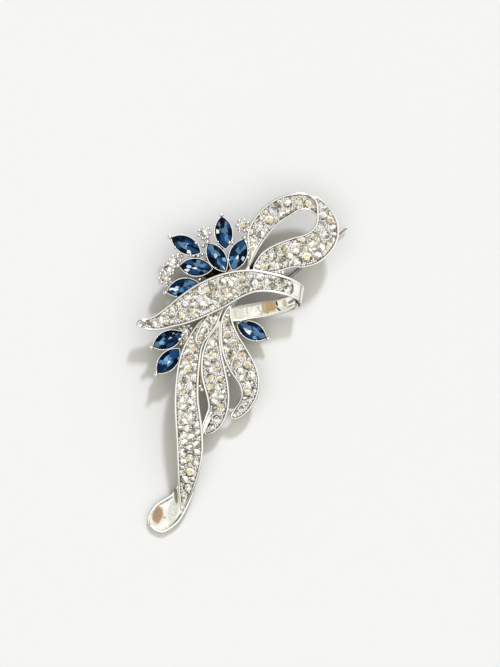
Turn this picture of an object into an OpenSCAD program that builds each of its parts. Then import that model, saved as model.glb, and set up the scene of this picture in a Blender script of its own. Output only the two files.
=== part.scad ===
/* [Ribbons] */
// Thickness of a paved ribbon
ribbon_t = 1.3; // [1.1:0.05:1.5]
// Thickness of the small leaf ribbon at the top of the long tail
leaf_t = 1.0; // [0.9:0.05:1.2]
// Thickness of the curled end of the long tail
curl_t = 1.2; // [1.1:0.05:1.2]
// Width of the polished rim on each side of a ribbon
rim_w = 0.6; // [0.45:0.05:0.7]
// Depth of the channel between the rims
channel_d = 0.7; // [0.5:0.05:0.8]
// Depth of the polished dish in the curled end
dish_d = 0.45; // [0.3:0.05:0.6]
// How far the paving lies below the rims
pave_low = 0.12; // [0.05:0.01:0.2]
// Gap round each set piece
set_gap = 0.04; // [0.02:0.01:0.06]

/* [Marquise stones] */
// Length of a blue marquise stone
stone_l = 8; // [7.6:0.1:8.2]
// Width of a blue marquise stone
stone_w = 4.1; // [3.8:0.1:4.2]
// Height of the stone above its girdle
crown_h = 0.9; // [0.7:0.1:1.1]
// Depth of the stone below its girdle
pavilion_h = 1.5; // [1.2:0.1:1.6]
// Wall of the cup round a marquise stone
cup_wall = 0.35; // [0.3:0.05:0.4]
// Depth of the cup below the girdle
cup_h = 2.1; // [2.0:0.1:2.3]
// Radius of the ball prong at a stone's outer tip
ball_r = 0.42; // [0.35:0.01:0.48]
// Radius of the small prongs along a stone's sides
claw_r = 0.24; // [0.2:0.01:0.28]

/* [Florets] */
// Diameter of a small round stone
round_d = 1.7; // [1.5:0.1:1.8]
// Radius of the ring of beads round it
bead_ring_r = 1.5; // [1.4:0.05:1.6]
// Radius of one bead
bead_r = 0.34; // [0.3:0.01:0.38]

/* [Pin] */
// Radius of the pin wire
pin_r = 0.5; // [0.45:0.05:0.55]
// Length from the hinge to the point
pin_l = 22.7; // [22:0.1:24]
// Where the pin's even stretch starts, beyond its neck
even_from = 3; // [2.8:0.1:3.2]
// Where the pin starts to taper, short of the catch
taper_from = 12.2; // [12:0.1:12.4]
// Height of the pin's centre above the table
pin_z = 1.3; // [1.28:0.01:1.35]
// Direction of the pin in the plane of the brooch
pin_turn = 40.4; // [39:0.1:41]
// How far the hinge leans, so that the pin leaves its hook sideways and down
hinge_lean = 45; // [44:1:46]
// Distance from the hinge to the catch
catch_at = 15; // [14.5:0.1:15.5]
// Radius of the hinge rivet
rivet_r = 0.4; // [0.35:0.01:0.42]
// Running clearance of the pin's eye on its rivet
eye_gap = 0.05; // [0.03:0.01:0.08]

/* [Hidden] */

BAND_PAVED = 13;
TAIL_PAVED = 5;
OVER = 0.6;
MIN_PAVED = 0.3;
FAINT = 0.05;
LAST = 99;
TABLE_L = 0.55;
TABLE_W = 0.5;
CUP_FOOT = 0.7;
CLAW_AT = 0.27;
SEAT_H = 0.62;
FLORET_CUP_H = 1.3;
EYE_R = 0.85;
EYE_W = 1.0;
EAR_W = 0.4;
NECK_R = 0.44;
TIP_R = 0.2;
HOOK_W = 2.0;
PLATE_T = 0.5;
PLATE_TOP = 8.3;
HINGE = [9.9, 20.8, pin_z];
POST_WAIST = [8.6, 21.8, 5.4];
POST_TOP = [8.9, 21.1, 8.8];

// Each ribbon is a table of stations. A row holds the two edges of the top face,
// [x, y, z] on one side and [x, y, z] on the other, so that across x along points
// out of the paved face.

// Upper strand of the loop, from under the band to under the fold: outer, inner edge
loop_upper = [
    [[0.4, 23.4, 8.7], [1.6, 23.4, 8.7]],
    [[1.1, 25.6, 7.9], [2.1, 25.6, 7.9]],
    [[1.6, 28.2, 7.6], [3.4, 28.2, 7.6]],
    [[1.4, 30.6, 7.9], [4.8, 30.6, 7.6]],
    [[1.2, 33.2, 8.4], [6.4, 32.9, 8.0]],
    [[1.9, 35.8, 8.8], [8.1, 35.0, 8.3]],
    [[3.6, 38.5, 9.1], [10.2, 36.9, 8.5]],
    [[6.4, 41.2, 9.3], [12.4, 38.2, 8.6]],
    [[9.6, 43.1, 9.3], [14.4, 39.4, 8.6]],
    [[13.0, 44.0, 9.2], [16.2, 39.8, 8.5]],
    [[16.0, 44.1, 8.9], [17.6, 39.4, 8.4]],
    [[18.6, 43.2, 8.6], [18.8, 38.6, 8.3]],
    [[20.4, 41.6, 8.4], [19.8, 38.0, 8.2]]];

// Outer and lower strand of the loop, from the fold round to the band: outer, inner edge
loop_lower = [
    [[16.6, 44.1, 9.0], [16.4, 43.7, 9.0]],
    [[19.4, 43.1, 9.5], [18.2, 42.6, 9.4]],
    [[21.6, 41.4, 9.7], [18.9, 41.0, 9.5]],
    [[23.4, 39.1, 9.8], [19.05, 39.2, 9.5]],
    [[24.6, 36.4, 9.8], [19.05, 37.3, 9.4]],
    [[24.8, 33.4, 9.7], [18.5, 35.6, 9.3]],
    [[24.0, 30.7, 9.6], [17.2, 34.2, 9.2]],
    [[22.2, 28.2, 9.5], [15.2, 33.3, 9.1]],
    [[19.6, 26.1, 9.4], [12.8, 32.7, 9.0]],
    [[16.4, 25.0, 9.3], [10.4, 31.9, 8.9]],
    [[13.0, 24.9, 9.1], [8.2, 31.0, 8.8]],
    [[10.2, 24.1, 8.8], [6.2, 29.9, 8.6]],
    [[7.4, 23.5, 8.7], [4.6, 28.6, 8.4]],
    [[5.0, 23.5, 8.6], [3.5, 27.0, 8.3]],
    [[3.4, 24.0, 8.5], [2.9, 25.8, 8.3]],
    [[2.8, 24.6, 8.4], [2.75, 25.0, 8.3]]];

// Band from its left tip across the front, over the fold at its right end and back
// to the left as a plain strand: upper, lower edge
band = [
    [[-27.0, 11.0, 8.0], [-27.0, 10.4, 8.0]],
    [[-26.2, 11.8, 8.0], [-26.0, 9.2, 7.9]],
    [[-24.4, 12.0, 7.9], [-24.0, 8.75, 7.7]],
    [[-22.2, 13.0, 8.0], [-21.2, 8.85, 7.8]],
    [[-19.4, 15.1, 8.3], [-18.0, 9.6, 8.1]],
    [[-16.2, 17.7, 8.7], [-14.6, 10.4, 8.5]],
    [[-12.8, 20.1, 9.1], [-11.2, 11.6, 8.9]],
    [[-9.2, 22.0, 9.5], [-7.6, 13.2, 9.3]],
    [[-5.2, 23.5, 9.8], [-4.0, 15.0, 9.7]],
    [[-1.2, 24.3, 10.0], [-0.6, 17.0, 9.9]],
    [[2.8, 24.4, 10.1], [2.8, 18.4, 10.0]],
    [[6.6, 23.8, 10.0], [6.4, 18.6, 10.0]],
    [[10.0, 23.0, 9.9], [9.6, 18.1, 9.8]],
    [[13.0, 22.0, 9.5], [12.6, 17.3, 9.4]],
    [[15.1, 20.8, 8.6], [14.6, 16.4, 8.5]],
    [[15.9, 19.8, 7.2], [15.3, 15.6, 7.1]],
    [[15.2, 19.0, 5.8], [14.7, 14.9, 5.7]],
    [[13.2, 18.2, 5.0], [13.0, 14.0, 4.9]],
    [[10.4, 17.4, 4.7], [10.4, 13.15, 4.7]],
    [[6.6, 16.6, 4.7], [6.6, 12.3, 4.7]],
    [[2.8, 15.9, 4.9], [2.8, 11.8, 4.9]],
    [[-0.6, 15.3, 5.3], [-0.6, 11.2, 5.3]],
    [[-3.6, 14.7, 5.9], [-3.2, 11.0, 5.9]]];

// Long left tail, from under the band down to its point: right, left edge
tail_left = [
    [[-4.8, 15.8, 8.3], [-6.8, 15.6, 8.3]],
    [[-5.6, 13.4, 8.05], [-8.9, 12.9, 8.05]],
    [[-6.6, 11.0, 8.15], [-11.2, 11.0, 8.15]],
    [[-7.9, 8.9, 8.28], [-12.9, 8.8, 8.25]],
    [[-9.2, 6.8, 8.38], [-14.2, 6.6, 8.33]],
    [[-10.2, 4.6, 8.65], [-15.3, 4.6, 8.6]],
    [[-10.7, 2.2, 9.1], [-16.2, 2.2, 8.9]],
    [[-11.0, -0.4, 9.4], [-16.8, -0.4, 9.2]],
    [[-11.2, -3.2, 9.6], [-17.2, -3.2, 9.5]],
    [[-11.3, -6.2, 9.7], [-17.45, -6.2, 9.6]],
    [[-11.2, -9.4, 9.6], [-17.55, -9.4, 9.5]],
    [[-10.8, -12.6, 9.3], [-17.5, -12.6, 9.2]],
    [[-10.4, -15.8, 8.9], [-17.35, -15.8, 8.8]],
    [[-10.15, -19.0, 8.3], [-17.15, -19.0, 8.2]],
    [[-10.15, -22.2, 7.6], [-17.05, -22.2, 7.5]],
    [[-10.6, -25.6, 6.8], [-16.95, -25.6, 6.6]],
    [[-11.4, -29.0, 5.8], [-16.85, -29.0, 5.6]],
    [[-12.5, -32.2, 4.8], [-16.8, -32.0, 4.6]],
    [[-13.7, -35.0, 3.8], [-16.6, -34.8, 3.7]],
    [[-14.8, -37.2, 3.0], [-16.3, -37.0, 3.0]],
    [[-15.6, -38.3, 2.6], [-16.1, -38.2, 2.6]]];

// Curled polished end of the long tail: lower right, upper left edge
tail_curl = [
    [[-12.6, -33.0, 3.5], [-16.4, -30.4, 3.5]],
    [[-13.6, -35.6, 3.0], [-17.3, -32.0, 3.0]],
    [[-14.8, -38.2, 2.5], [-18.6, -33.8, 2.5]],
    [[-16.4, -40.8, 2.0], [-20.4, -35.0, 2.1]],
    [[-18.4, -42.7, 1.6], [-22.2, -36.1, 1.8]],
    [[-20.6, -43.9, 1.4], [-23.7, -37.8, 1.6]],
    [[-22.6, -43.5, 1.3], [-24.5, -39.8, 1.5]],
    [[-24.0, -42.4, 1.3], [-24.6, -41.4, 1.4]]];

// Small leaf-shaped ribbon over the top of the long tail: right, left edge
leaf = [
    [[-4.9, 14.5, 8.2], [-8.0, 14.3, 8.2]],
    [[-5.6, 12.6, 8.8], [-9.2, 12.4, 8.8]],
    [[-6.4, 10.4, 9.0], [-10.6, 10.6, 9.0]],
    [[-7.6, 8.6, 9.15], [-11.6, 8.8, 9.1]],
    [[-8.8, 7.1, 9.25], [-12.25, 7.1, 9.15]],
    [[-9.8, 5.8, 9.25], [-12.1, 5.8, 9.15]],
    [[-10.8, 5.3, 9.15], [-11.4, 5.3, 9.15]]];

// Middle tail: right, left edge
tail_middle = [
    [[-5.7, 11.2, 8.1], [-6.1, 11.2, 8.1]],
    [[-5.7, 9.2, 8.2], [-7.5, 9.2, 8.1]],
    [[-5.7, 7.0, 8.3], [-9.0, 7.0, 8.3]],
    [[-5.5, 4.6, 8.4], [-10.0, 4.6, 8.6]],
    [[-5.1, 2.0, 8.3], [-10.6, 2.0, 8.6]],
    [[-4.5, -0.6, 8.1], [-10.8, -0.6, 8.5]],
    [[-3.95, -3.2, 7.8], [-10.6, -3.2, 8.3]],
    [[-3.5, -5.8, 7.4], [-10.0, -5.8, 8.0]],
    [[-3.3, -8.4, 6.9], [-9.3, -8.4, 7.5]],
    [[-3.5, -11.2, 6.3], [-8.95, -11.2, 6.8]],
    [[-4.2, -13.8, 5.7], [-9.8, -13.7, 6.1]],
    [[-5.5, -16.1, 5.2], [-10.7, -15.8, 5.6]],
    [[-7.4, -17.7, 4.9], [-10.9, -17.1, 5.2]],
    [[-9.4, -18.3, 4.8], [-10.8, -18.1, 4.9]]];

// Right tail: right, left edge
tail_right = [
    [[-2.9, 15.2, 8.5], [-3.4, 15.2, 8.5]],
    [[-2.8, 13.2, 8.1], [-4.9, 13.2, 8.1]],
    [[-2.4, 11.2, 8.0], [-5.6, 11.2, 8.3]],
    [[-1.7, 9.2, 8.1], [-5.8, 9.2, 8.5]],
    [[-0.6, 7.0, 8.1], [-5.8, 7.0, 8.6]],
    [[0.9, 4.6, 8.0], [-5.55, 4.6, 8.6]],
    [[2.3, 2.2, 7.9], [-5.0, 2.2, 8.5]],
    [[3.5, -0.2, 7.7], [-4.1, -0.1, 8.3]],
    [[4.3, -2.8, 7.3], [-2.7, -2.6, 7.9]],
    [[4.5, -5.4, 6.8], [-1.1, -5.0, 7.3]],
    [[4.1, -7.8, 6.2], [-0.4, -7.4, 6.6]],
    [[3.1, -10.0, 5.6], [-0.8, -9.4, 5.9]],
    [[1.6, -12.2, 5.1], [-1.9, -11.0, 5.3]],
    [[-0.2, -13.7, 4.8], [-2.8, -12.3, 4.9]],
    [[-1.8, -14.2, 4.7], [-3.1, -13.2, 4.75]],
    [[-2.7, -13.9, 4.65], [-2.9, -13.8, 4.65]]];

// Marquise stones: x, y and z of the girdle's centre, heading of the outer tip,
// rise of the outer tip and roll about the length, both in degrees
stones = [
    [-14.6, 30.8, 7.0, 153, 4, 8],
    [-4.85, 34.0, 7.6, 97, 3, 0],
    [-12.0, 25.1, 6.9, 176, 3, 0],
    [-6.6, 27.6, 8.2, 122, 2, 0],
    [-1.1, 28.3, 8.0, 70, 0, 0],
    [-15.5, 19.9, 6.0, 197, 6, 0],
    [-19.3, 6.4, 6.3, 205, 4, 0],
    [-19.2, 0.9, 6.2, 228, 4, 0],
    [2.4, 8.7, 3.9, -26, 0, 0]];

// Florets: x, y and z of the small stone's girdle
florets = [
    [-9.9, 33.9, 7.4],
    [0.1, 35.9, 7.6],
    [-17.5, 26.6, 7.2],
    [-19.3, 24.6, 7.0],
    [-20.2, 22.4, 6.8],
    [-14.3, 8.7, 6.6],
    [-14.8, 6.3, 6.8]];

// Stems that carry the settings, then two that join the tails: start and end as x, y, z,
// then half the thickness
hub = [-7.2, 22.0];
hub_top = 5.0;
stems = [
    [[-7.1, 22.2, 4.0], [-6.3, 19.4, 7.55], 0.9],
    [[-14.6, 30.7, 5.3], [-8.2, 23.1, 4.3], 0.7],
    [[-13.4, 25.2, 5.2], [-7.8, 22.5, 4.2], 0.8],
    [[-7.2, 28.4, 6.5], [-7.0, 22.4, 4.0], 0.8],
    [[-5.0, 34.2, 5.9], [-6.6, 23.1, 4.1], 0.7],
    [[-1.5, 27.6, 6.3], [-6.4, 22.6, 4.3], 0.8],
    [[-16.3, 19.8, 4.4], [-7.5, 21.7, 3.8], 0.8],
    [[-9.9, 33.6, 6.3], [-7.9, 28.2, 6.5], 0.45],
    [[0.2, 35.6, 6.5], [3.3, 34.1, 7.1], 0.45],
    [[-17.5, 26.7, 6.1], [-13.9, 25.3, 5.3], 0.45],
    [[-17.3, 26.9, 6.3], [-19.5, 24.3, 6.0], 0.45],
    [[-19.3, 24.9, 6.2], [-20.3, 22.1, 5.9], 0.45],
    [[-20.3, 22.5, 6.0], [-16.9, 20.0, 4.9], 0.45],
    [[-19.0, 6.6, 4.7], [-12.6, 6.1, 6.9], 0.7],
    [[-18.6, 1.3, 4.7], [-13.7, 2.1, 7.2], 0.7],
    [[-14.3, 8.8, 5.9], [-12.3, 7.7, 7.0], 0.45],
    [[1.9, 8.9, 1.9], [-0.3, 13.1, 5.1], 0.8],
    [[-10.7, 1.0, 7.9], [-10.85, -6.3, 7.9], 0.5],
    [[-3.9, -11.9, 5.4], [-2.2, -11.7, 4.6], 0.45]];

function unit(v) = v / norm(v);

function middle(s) = (s[0] + s[1]) / 2;
function across(s) = unit(s[1] - s[0]);
function width(s) = norm(s[1] - s[0]);
function along(rows, i) =
    unit(middle(rows[min(i + 1, len(rows) - 1)]) - middle(rows[max(i - 1, 0)]));
function out(rows, i) = unit(cross(across(rows[i]), along(rows, i)));

// A section of [distance across, height] points, set in place at row i
function ring(rows, i, section) =
    [for (p = section) rows[i][0] + across(rows[i]) * p[0] + out(rows, i) * p[1]];

// A rimmed channel w wide, t thick and d deep
function channel(w, t, d) =
    let (r = min(rim_w, w / 3))
    [[0, -t], [0, 0], [r, 0], [r, -d], [w - r, -d], [w - r, 0], [w, 0], [w, -t]];

// Closed skin over rings of equal length
module skin(rings) {
    n = len(rings[0]);
    m = len(rings);
    points = [for (r = rings) for (p = r) p];
    sides = [for (i = [0 : m - 2]) for (j = [0 : n - 1]) for (half = [0, 1])
        let (a = i * n + j, b = i * n + (j + 1) % n)
        half == 0 ? [a, b + n, b] : [a, a + n, b + n]];
    first = [for (j = [0 : n - 1]) j];
    last = [for (j = [n - 1 : -1 : 0]) (m - 1) * n + j];
    polyhedron(points, concat([first], sides, [last]), convexity = 8);
}

// A metal ribbon, with its channel from row a to row b where it is wide enough
module ribbon(rows, t, depth, a = 0, b = LAST) {
    skin([for (i = [0 : len(rows) - 1])
        let (w = width(rows[i]), open = i >= a && i <= b && w > 2 * rim_w + MIN_PAVED)
        ring(rows, i, channel(w, t, open ? depth : FAINT))]);
}

// A plain bar along a ribbon, between two heights
module bar(rows, inset, low, high, a, b) {
    skin([for (i = [a : min(b, len(rows) - 1)])
        let (w = width(rows[i]))
        if (w > 2 * inset + MIN_PAVED)
            ring(rows, i, [[inset, low], [inset, high], [w - inset, high], [w - inset, low]])]);
}

// Room that a ribbon takes from the paving of those it crosses
module cover(rows) { bar(rows, -set_gap, -ribbon_t - set_gap, OVER, 0, LAST); }

module paving(rows, a = 0, b = LAST) {
    color("whitesmoke") bar(rows, rim_w + set_gap, set_gap - channel_d, -pave_low, a, b);
}

// Outline of a marquise at one height, pointed at both ends
function marquise(l, w, z) =
    let (r = (l * l + w * w) / (4 * w), half = asin(l / 2 / r))
    [for (side = [1, -1]) for (k = [-2 : 1])
        [side * r * sin(half * k / 2), side * (r * cos(half * k / 2) - (r - w / 2)), z]];

module gem(grow) {
    l = stone_l + 2 * grow;
    w = stone_w + 2 * grow;
    skin([marquise(stone_l * TABLE_L, stone_w * TABLE_W, crown_h),
        marquise(l, w, 0.1),
        marquise(l, w, -0.1),
        marquise(stone_l * 0.3, stone_w * 0.15, -pavilion_h - grow)]);
}

module at_stone(s) {
    translate([s[0], s[1], s[2]]) rotate([0, 0, s[3]]) rotate([s[5], -s[4], 0]) children();
}

module bead(r) { sphere(r, $fn = 6); }

// A post that ends in a grain of metal over a stone's edge
module claw(r, low, high) {
    translate([0, 0, low]) cylinder(h = high - low, r = r, $fn = 6);
}

module cup() {
    grow = 2 * (cup_wall + set_gap);
    side = stone_l * CLAW_AT;
    skin([marquise(stone_l + grow, stone_w + grow, 0.05),
        marquise(stone_l * CUP_FOOT, stone_w * CUP_FOOT, -cup_h)]);
    translate([stone_l / 2 + 0.5, 0, 0]) hull() {
        bead(ball_r);
        translate([-0.3, 0, -1.3]) bead(ball_r * 0.6);
    }
    for (x = [-side, side]) for (y = [-1, 1])
        translate([x, y * (stone_w * 0.4 + 0.36), 0]) claw(claw_r, -1, 0.2);
}

// Setting of a small round stone: a cup with a ring of round lobes
module floret_cup() {
    translate([0, 0, -FLORET_CUP_H]) linear_extrude(FLORET_CUP_H + 0.15)
        polygon([for (k = [0 : 17]) let (r = k % 3 == 1 ? 1.25 : bead_ring_r + bead_r)
            [r * cos(20 * k), r * sin(20 * k)]]);
}

// Seats cut for the stones once the stems have joined their cups
module seats() {
    for (s = stones) at_stone(s) gem(set_gap);
    for (f = florets) translate(f)
        translate([0, 0, -SEAT_H]) cylinder(h = 1, r1 = 0.3, r2 = round_d / 2 + 0.4, $fn = 8);
}

// Square bar between two points
module stem(a, b, r) {
    run = unit(b - a);
    side = unit(cross(run, [0, 0, 1]));
    up = cross(side, run);
    skin([for (p = [a, b]) [for (c = [[-1, -1], [-1, 1], [1, 1], [1, -1]]) p + r * (side * c[0] + up * c[1])]]);
}

module at_hinge() {
    translate(HINGE) rotate([0, 0, pin_turn]) rotate([-hinge_lean, 0, 0]) children();
}

// Plain hinge: a post under the band with two ears, their bore clear of the rivet
module hinge_post() {
    difference() {
        union() {
            for (side = [-1, 1]) at_hinge()
                translate([0, side * (EYE_W / 2 + set_gap + EAR_W / 2), 0]) hull() {
                    rotate([90, 0, 0]) cylinder(h = EAR_W, r = EYE_R, center = true, $fn = 16);
                    translate([-0.6, 0, 2.4]) cube([1.8, EAR_W, 0.4], center = true);
                }
            hull() {
                at_hinge() translate([-0.6, 0, 2.6]) cube([1.8, EYE_W + 2 * EAR_W, 0.4], center = true);
                translate(POST_WAIST) cube([2.6, 2.2, 0.5], center = true);
            }
            hull() {
                translate(POST_WAIST) cube([2.6, 2.2, 0.5], center = true);
                translate(POST_TOP) cube([3.4, 2.6, 0.5], center = true);
            }
        }
        at_hinge() rotate([90, 0, 0]) cylinder(h = 6, r = rivet_r + set_gap, center = true, $fn = 24);
    }
}

// Plain hook that holds the pin: one bent strip whose mouth faces away and down
module catch_hook() {
    translate(HINGE) rotate([0, 0, pin_turn]) translate([catch_at, 0, 0]) {
        rotate([90, 0, 90]) linear_extrude(HOOK_W, center = true) difference() {
            circle(pin_z, $fn = 32);
            circle(pin_r + 0.1, $fn = 32);
            polygon([[0, 0], 3 * [cos(105), sin(105)], [-3, 0], 3 * [cos(285), sin(285)]]);
        }
        translate([-HOOK_W / 2, pin_r + 0.2, 0.3]) cube([HOOK_W, PLATE_T, PLATE_TOP - pin_z]);
    }
}

module frame() {
    color("silver") difference() {
        soldered();
        seats();
    }
}

// All the metal that is soldered together, before its seats are cut
module soldered() {
    ribbon(loop_upper, ribbon_t, channel_d, 4, 11);
    ribbon(loop_lower, ribbon_t, channel_d);
    ribbon(band, ribbon_t, channel_d, 0, BAND_PAVED);
    ribbon(tail_left, ribbon_t, channel_d, TAIL_PAVED);
    ribbon(tail_curl, curl_t, dish_d, 3);
    ribbon(leaf, leaf_t, channel_d, 1);
    ribbon(tail_middle, ribbon_t, channel_d);
    ribbon(tail_right, ribbon_t, channel_d);
    for (s = stones) at_stone(s) cup();
    for (f = florets) translate(f) floret_cup();
    for (s = stems) stem(s[0], s[1], s[2]);
    translate([hub[0], hub[1], 0]) cylinder(h = hub_top, r1 = 1.5, r2 = 2.2, $fn = 16);
    hinge_post();
    catch_hook();
}

module hinge_rivet() {
    color("gainsboro") at_hinge() rotate([90, 0, 0])
        cylinder(h = EYE_W + 2 * (set_gap + EAR_W), r = rivet_r, center = true, $fn = 48);
}

module pin_stem() {
    color("gainsboro") difference() {
        union() {
            at_hinge() rotate([90, 0, 0]) cylinder(h = EYE_W, r = EYE_R - 0.05, center = true, $fn = 48);
            translate(HINGE) rotate([0, 0, pin_turn]) rotate([0, 90, 0]) {
                cylinder(h = even_from, r1 = NECK_R, r2 = pin_r, $fn = 48);
                translate([0, 0, even_from]) cylinder(h = taper_from - even_from, r = pin_r, $fn = 48);
                translate([0, 0, taper_from])
                    cylinder(h = pin_l - taper_from - TIP_R, r1 = pin_r, r2 = TIP_R, $fn = 48);
                translate([0, 0, pin_l - TIP_R]) sphere(TIP_R, $fn = 48);
            }
        }
        at_hinge() rotate([90, 0, 0]) cylinder(h = 4, r = rivet_r + eye_gap, center = true, $fn = 48);
    }
}

module pave_loop_upper() {
    difference() {
        paving(loop_upper, 4, 11);
        cover(loop_lower);
    }
}

module pave_loop_lower() {
    difference() {
        paving(loop_lower);
        cover(band);
    }
}

module pave_band() { paving(band, 0, BAND_PAVED); }

module pave_leaf() {
    difference() {
        paving(leaf, 1);
        cover(band);
    }
}

module pave_tail_left() { paving(tail_left, TAIL_PAVED); }

module pave_tail_middle() { paving(tail_middle); }

module pave_tail_right() {
    difference() {
        paving(tail_right);
        cover(band);
    }
}

module stone(i) { color("midnightblue") at_stone(stones[i]) gem(0); }

module floret_stones() {
    color("white") for (f = florets) translate(f) {
        cylinder(h = 0.35, r1 = round_d / 2, r2 = round_d * 0.3, $fn = 8);
        translate([0, 0, -0.5]) cylinder(h = 0.5, r1 = 0.2, r2 = round_d / 2, $fn = 8);
    }
}

frame();
hinge_rivet();
pin_stem();
pave_loop_upper();
pave_loop_lower();
pave_band();
pave_leaf();
pave_tail_left();
pave_tail_middle();
pave_tail_right();
for (i = [0 : 8]) stone(i);
floret_stones();
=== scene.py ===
import random
from math import atan2, cos, inf, pi, radians, sin, sqrt

import bpy
from mathutils import Matrix, Vector
from mathutils.geometry import intersect_point_quad_2d


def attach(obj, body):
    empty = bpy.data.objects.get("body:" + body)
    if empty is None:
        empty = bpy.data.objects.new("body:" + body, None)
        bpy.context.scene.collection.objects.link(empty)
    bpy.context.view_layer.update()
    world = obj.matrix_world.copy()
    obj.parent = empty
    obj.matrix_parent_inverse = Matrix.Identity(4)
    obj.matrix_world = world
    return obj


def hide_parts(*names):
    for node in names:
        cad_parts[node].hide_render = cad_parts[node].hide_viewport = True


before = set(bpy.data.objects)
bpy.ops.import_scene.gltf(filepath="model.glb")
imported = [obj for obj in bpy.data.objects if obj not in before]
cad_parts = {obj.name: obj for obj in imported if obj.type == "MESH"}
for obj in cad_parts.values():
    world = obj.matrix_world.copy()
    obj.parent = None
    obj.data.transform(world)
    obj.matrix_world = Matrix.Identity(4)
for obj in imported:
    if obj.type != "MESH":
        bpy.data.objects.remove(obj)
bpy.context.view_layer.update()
MM = 0.001


# The camera looks straight down on the brooch. Its frame is 172 mm high at the height of the
# ribbons, and its middle is a little to the right of the middle tail's top.
VIEW_CENTRE = (1.94, 8.0)
VIEW_HEIGHT = 172.1
RIBBON_LEVEL = 7
CAMERA_ABOVE = 600
SENSOR = 24
bpy.ops.object.select_all(action="DESELECT")
bpy.ops.object.camera_add(
    location=Vector((*VIEW_CENTRE, RIBBON_LEVEL + CAMERA_ABOVE)) * MM, rotation=(0, 0, 0))
camera = bpy.context.object
camera.data.sensor_fit = "VERTICAL"
camera.data.sensor_height = SENSOR
camera.data.lens = SENSOR * CAMERA_ABOVE / VIEW_HEIGHT
bpy.context.scene.camera = camera
bpy.context.scene.view_settings.view_transform = "Standard"


# The brooch lies on a sheet of white paper under soft white light. One main light stands
# beyond its top edge and a little to the right, and throws its shadows towards the lower left,
# and a broad weak light from the other side fills them.
KEY_FROM = Vector((0.36, 1.16, 1.0)).normalized()
KEY_POWER = 1.7
KEY_TINT = (0.96, 0.98, 1.1)
KEY_SPREAD = radians(7)
FILL_FROM = Vector((-0.8, -1.0, 0.9)).normalized()
FILL_POWER = 0.27
FILL_SPREAD = radians(90)
DOME_POWER = 1.03
DOME_LEAN = 0.5
PAPER = (0.871, 0.876, 0.868, 1)
PAPER_FLECK = (0.82, 0.82, 0.78, 1)
PAPER_SIZE = 3000


class Shade:
    """A socket of a material. Sums on it add Math nodes, and add() adds any other node."""

    def __init__(self, tree, socket=None):
        self.tree = tree
        self.socket = socket

    def add(self, kind, settings, values, out=0):
        """A new node, its settings first, then what its sockets hold or are linked to."""
        made = self.tree.nodes.new("ShaderNode" + kind)
        for name, setting in settings.items():
            if name == "stops":
                while len(made.color_ramp.elements) < len(setting):
                    made.color_ramp.elements.new(1)
                for stop, (place, colour) in zip(made.color_ramp.elements, setting):
                    stop.position = place
                    stop.color = colour
            else:
                setattr(made, name, setting)
        for name, value in values.items():
            if isinstance(value, Shade):
                self.tree.links.new(value.socket, made.inputs[name])
            else:
                made.inputs[name].default_value = value
        return Shade(self.tree, made.outputs[out] if made.outputs else None)

    def maths(self, operation, first, second):
        return self.add("Math", {"operation": operation}, {0: first, 1: second})

    def __add__(self, other):
        return self.maths("ADD", self, other)

    def __sub__(self, other):
        return self.maths("SUBTRACT", self, other)

    def __rsub__(self, other):
        return self.maths("SUBTRACT", other, self)

    def __mul__(self, other):
        return self.maths("MULTIPLY", self, other)

    __radd__ = __add__
    __rmul__ = __mul__

    def mix(self, low, high):
        """The colour low where this is 0 and high where it is 1."""
        return self.add("Mix", {"data_type": "RGBA"}, {0: self, 6: low, 7: high}, 2)

    def noise(self, scale, detail=2):
        """Cloudy values between 0 and 1 over the place that this socket gives."""
        return self.add("TexNoise", {}, {"Vector": self, "Scale": scale, "Detail": detail})


def new_material(name):
    """An empty material, and a Shade that gives places on the piece."""
    material = bpy.data.materials.new(name)
    material.use_nodes = True
    material.node_tree.nodes.clear()
    return material, Shade(material.node_tree).add("TexCoord", {}, {}, "Object")


def surface(place, values):
    """The material's shader, with these values or links on its sockets."""
    shader = place.add("BsdfPrincipled", {}, values)
    place.add("OutputMaterial", {}, {"Surface": shader})


world = bpy.data.worlds.new("studio")
bpy.context.scene.world = world
world.use_nodes = True
world.node_tree.nodes.clear()
sky = Shade(world.node_tree).add("TexCoord", {}, {}, "Generated")
height = sky.add("SeparateXYZ", {}, {"Vector": sky}, "Z")
rightward = sky.add("SeparateXYZ", {}, {"Vector": sky}, "X")
rightward = rightward.add("Clamp", {}, {"Value": rightward})
dome = height.add("ValToRGB", {"stops": [
    (0.0, (0.50, 0.48, 0.40, 1)),
    (0.34, (0.42, 0.40, 0.33, 1)),
    (0.44, (0.07, 0.065, 0.045, 1)),
    (0.72, (0.09, 0.085, 0.06, 1)),
    (0.79, (1.0, 0.985, 0.90, 1)),
    (1.0, (1.0, 0.985, 0.90, 1))]}, {"Fac": height + rightward * DOME_LEAN})
glow = dome.add("Background", {}, {"Color": dome, "Strength": DOME_POWER})
glow.add("OutputWorld", {}, {"Surface": glow})


def sun(source, power, spread, tint=(1, 1, 1)):
    """A distant light that shines from a direction."""
    bpy.ops.object.light_add(type="SUN", rotation=source.to_track_quat("Z", "Y").to_euler())
    light = bpy.context.object.data
    light.energy = power
    light.angle = spread
    light.color = tint


sun(KEY_FROM, KEY_POWER, KEY_SPREAD, KEY_TINT)
sun(FILL_FROM, FILL_POWER, FILL_SPREAD)

bpy.ops.mesh.primitive_plane_add(size=PAPER_SIZE * MM)
paper = bpy.context.object
paper.name = "paper"
material, place = new_material("white_paper")
fleck = place.noise(2500, 3)
surface(place, {
    "Base Color": (fleck * 0.06).mix(PAPER, PAPER_FLECK),
    "Roughness": 0.9,
    "Specular IOR Level": 0.15})
paper.data.materials.append(material)


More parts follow.
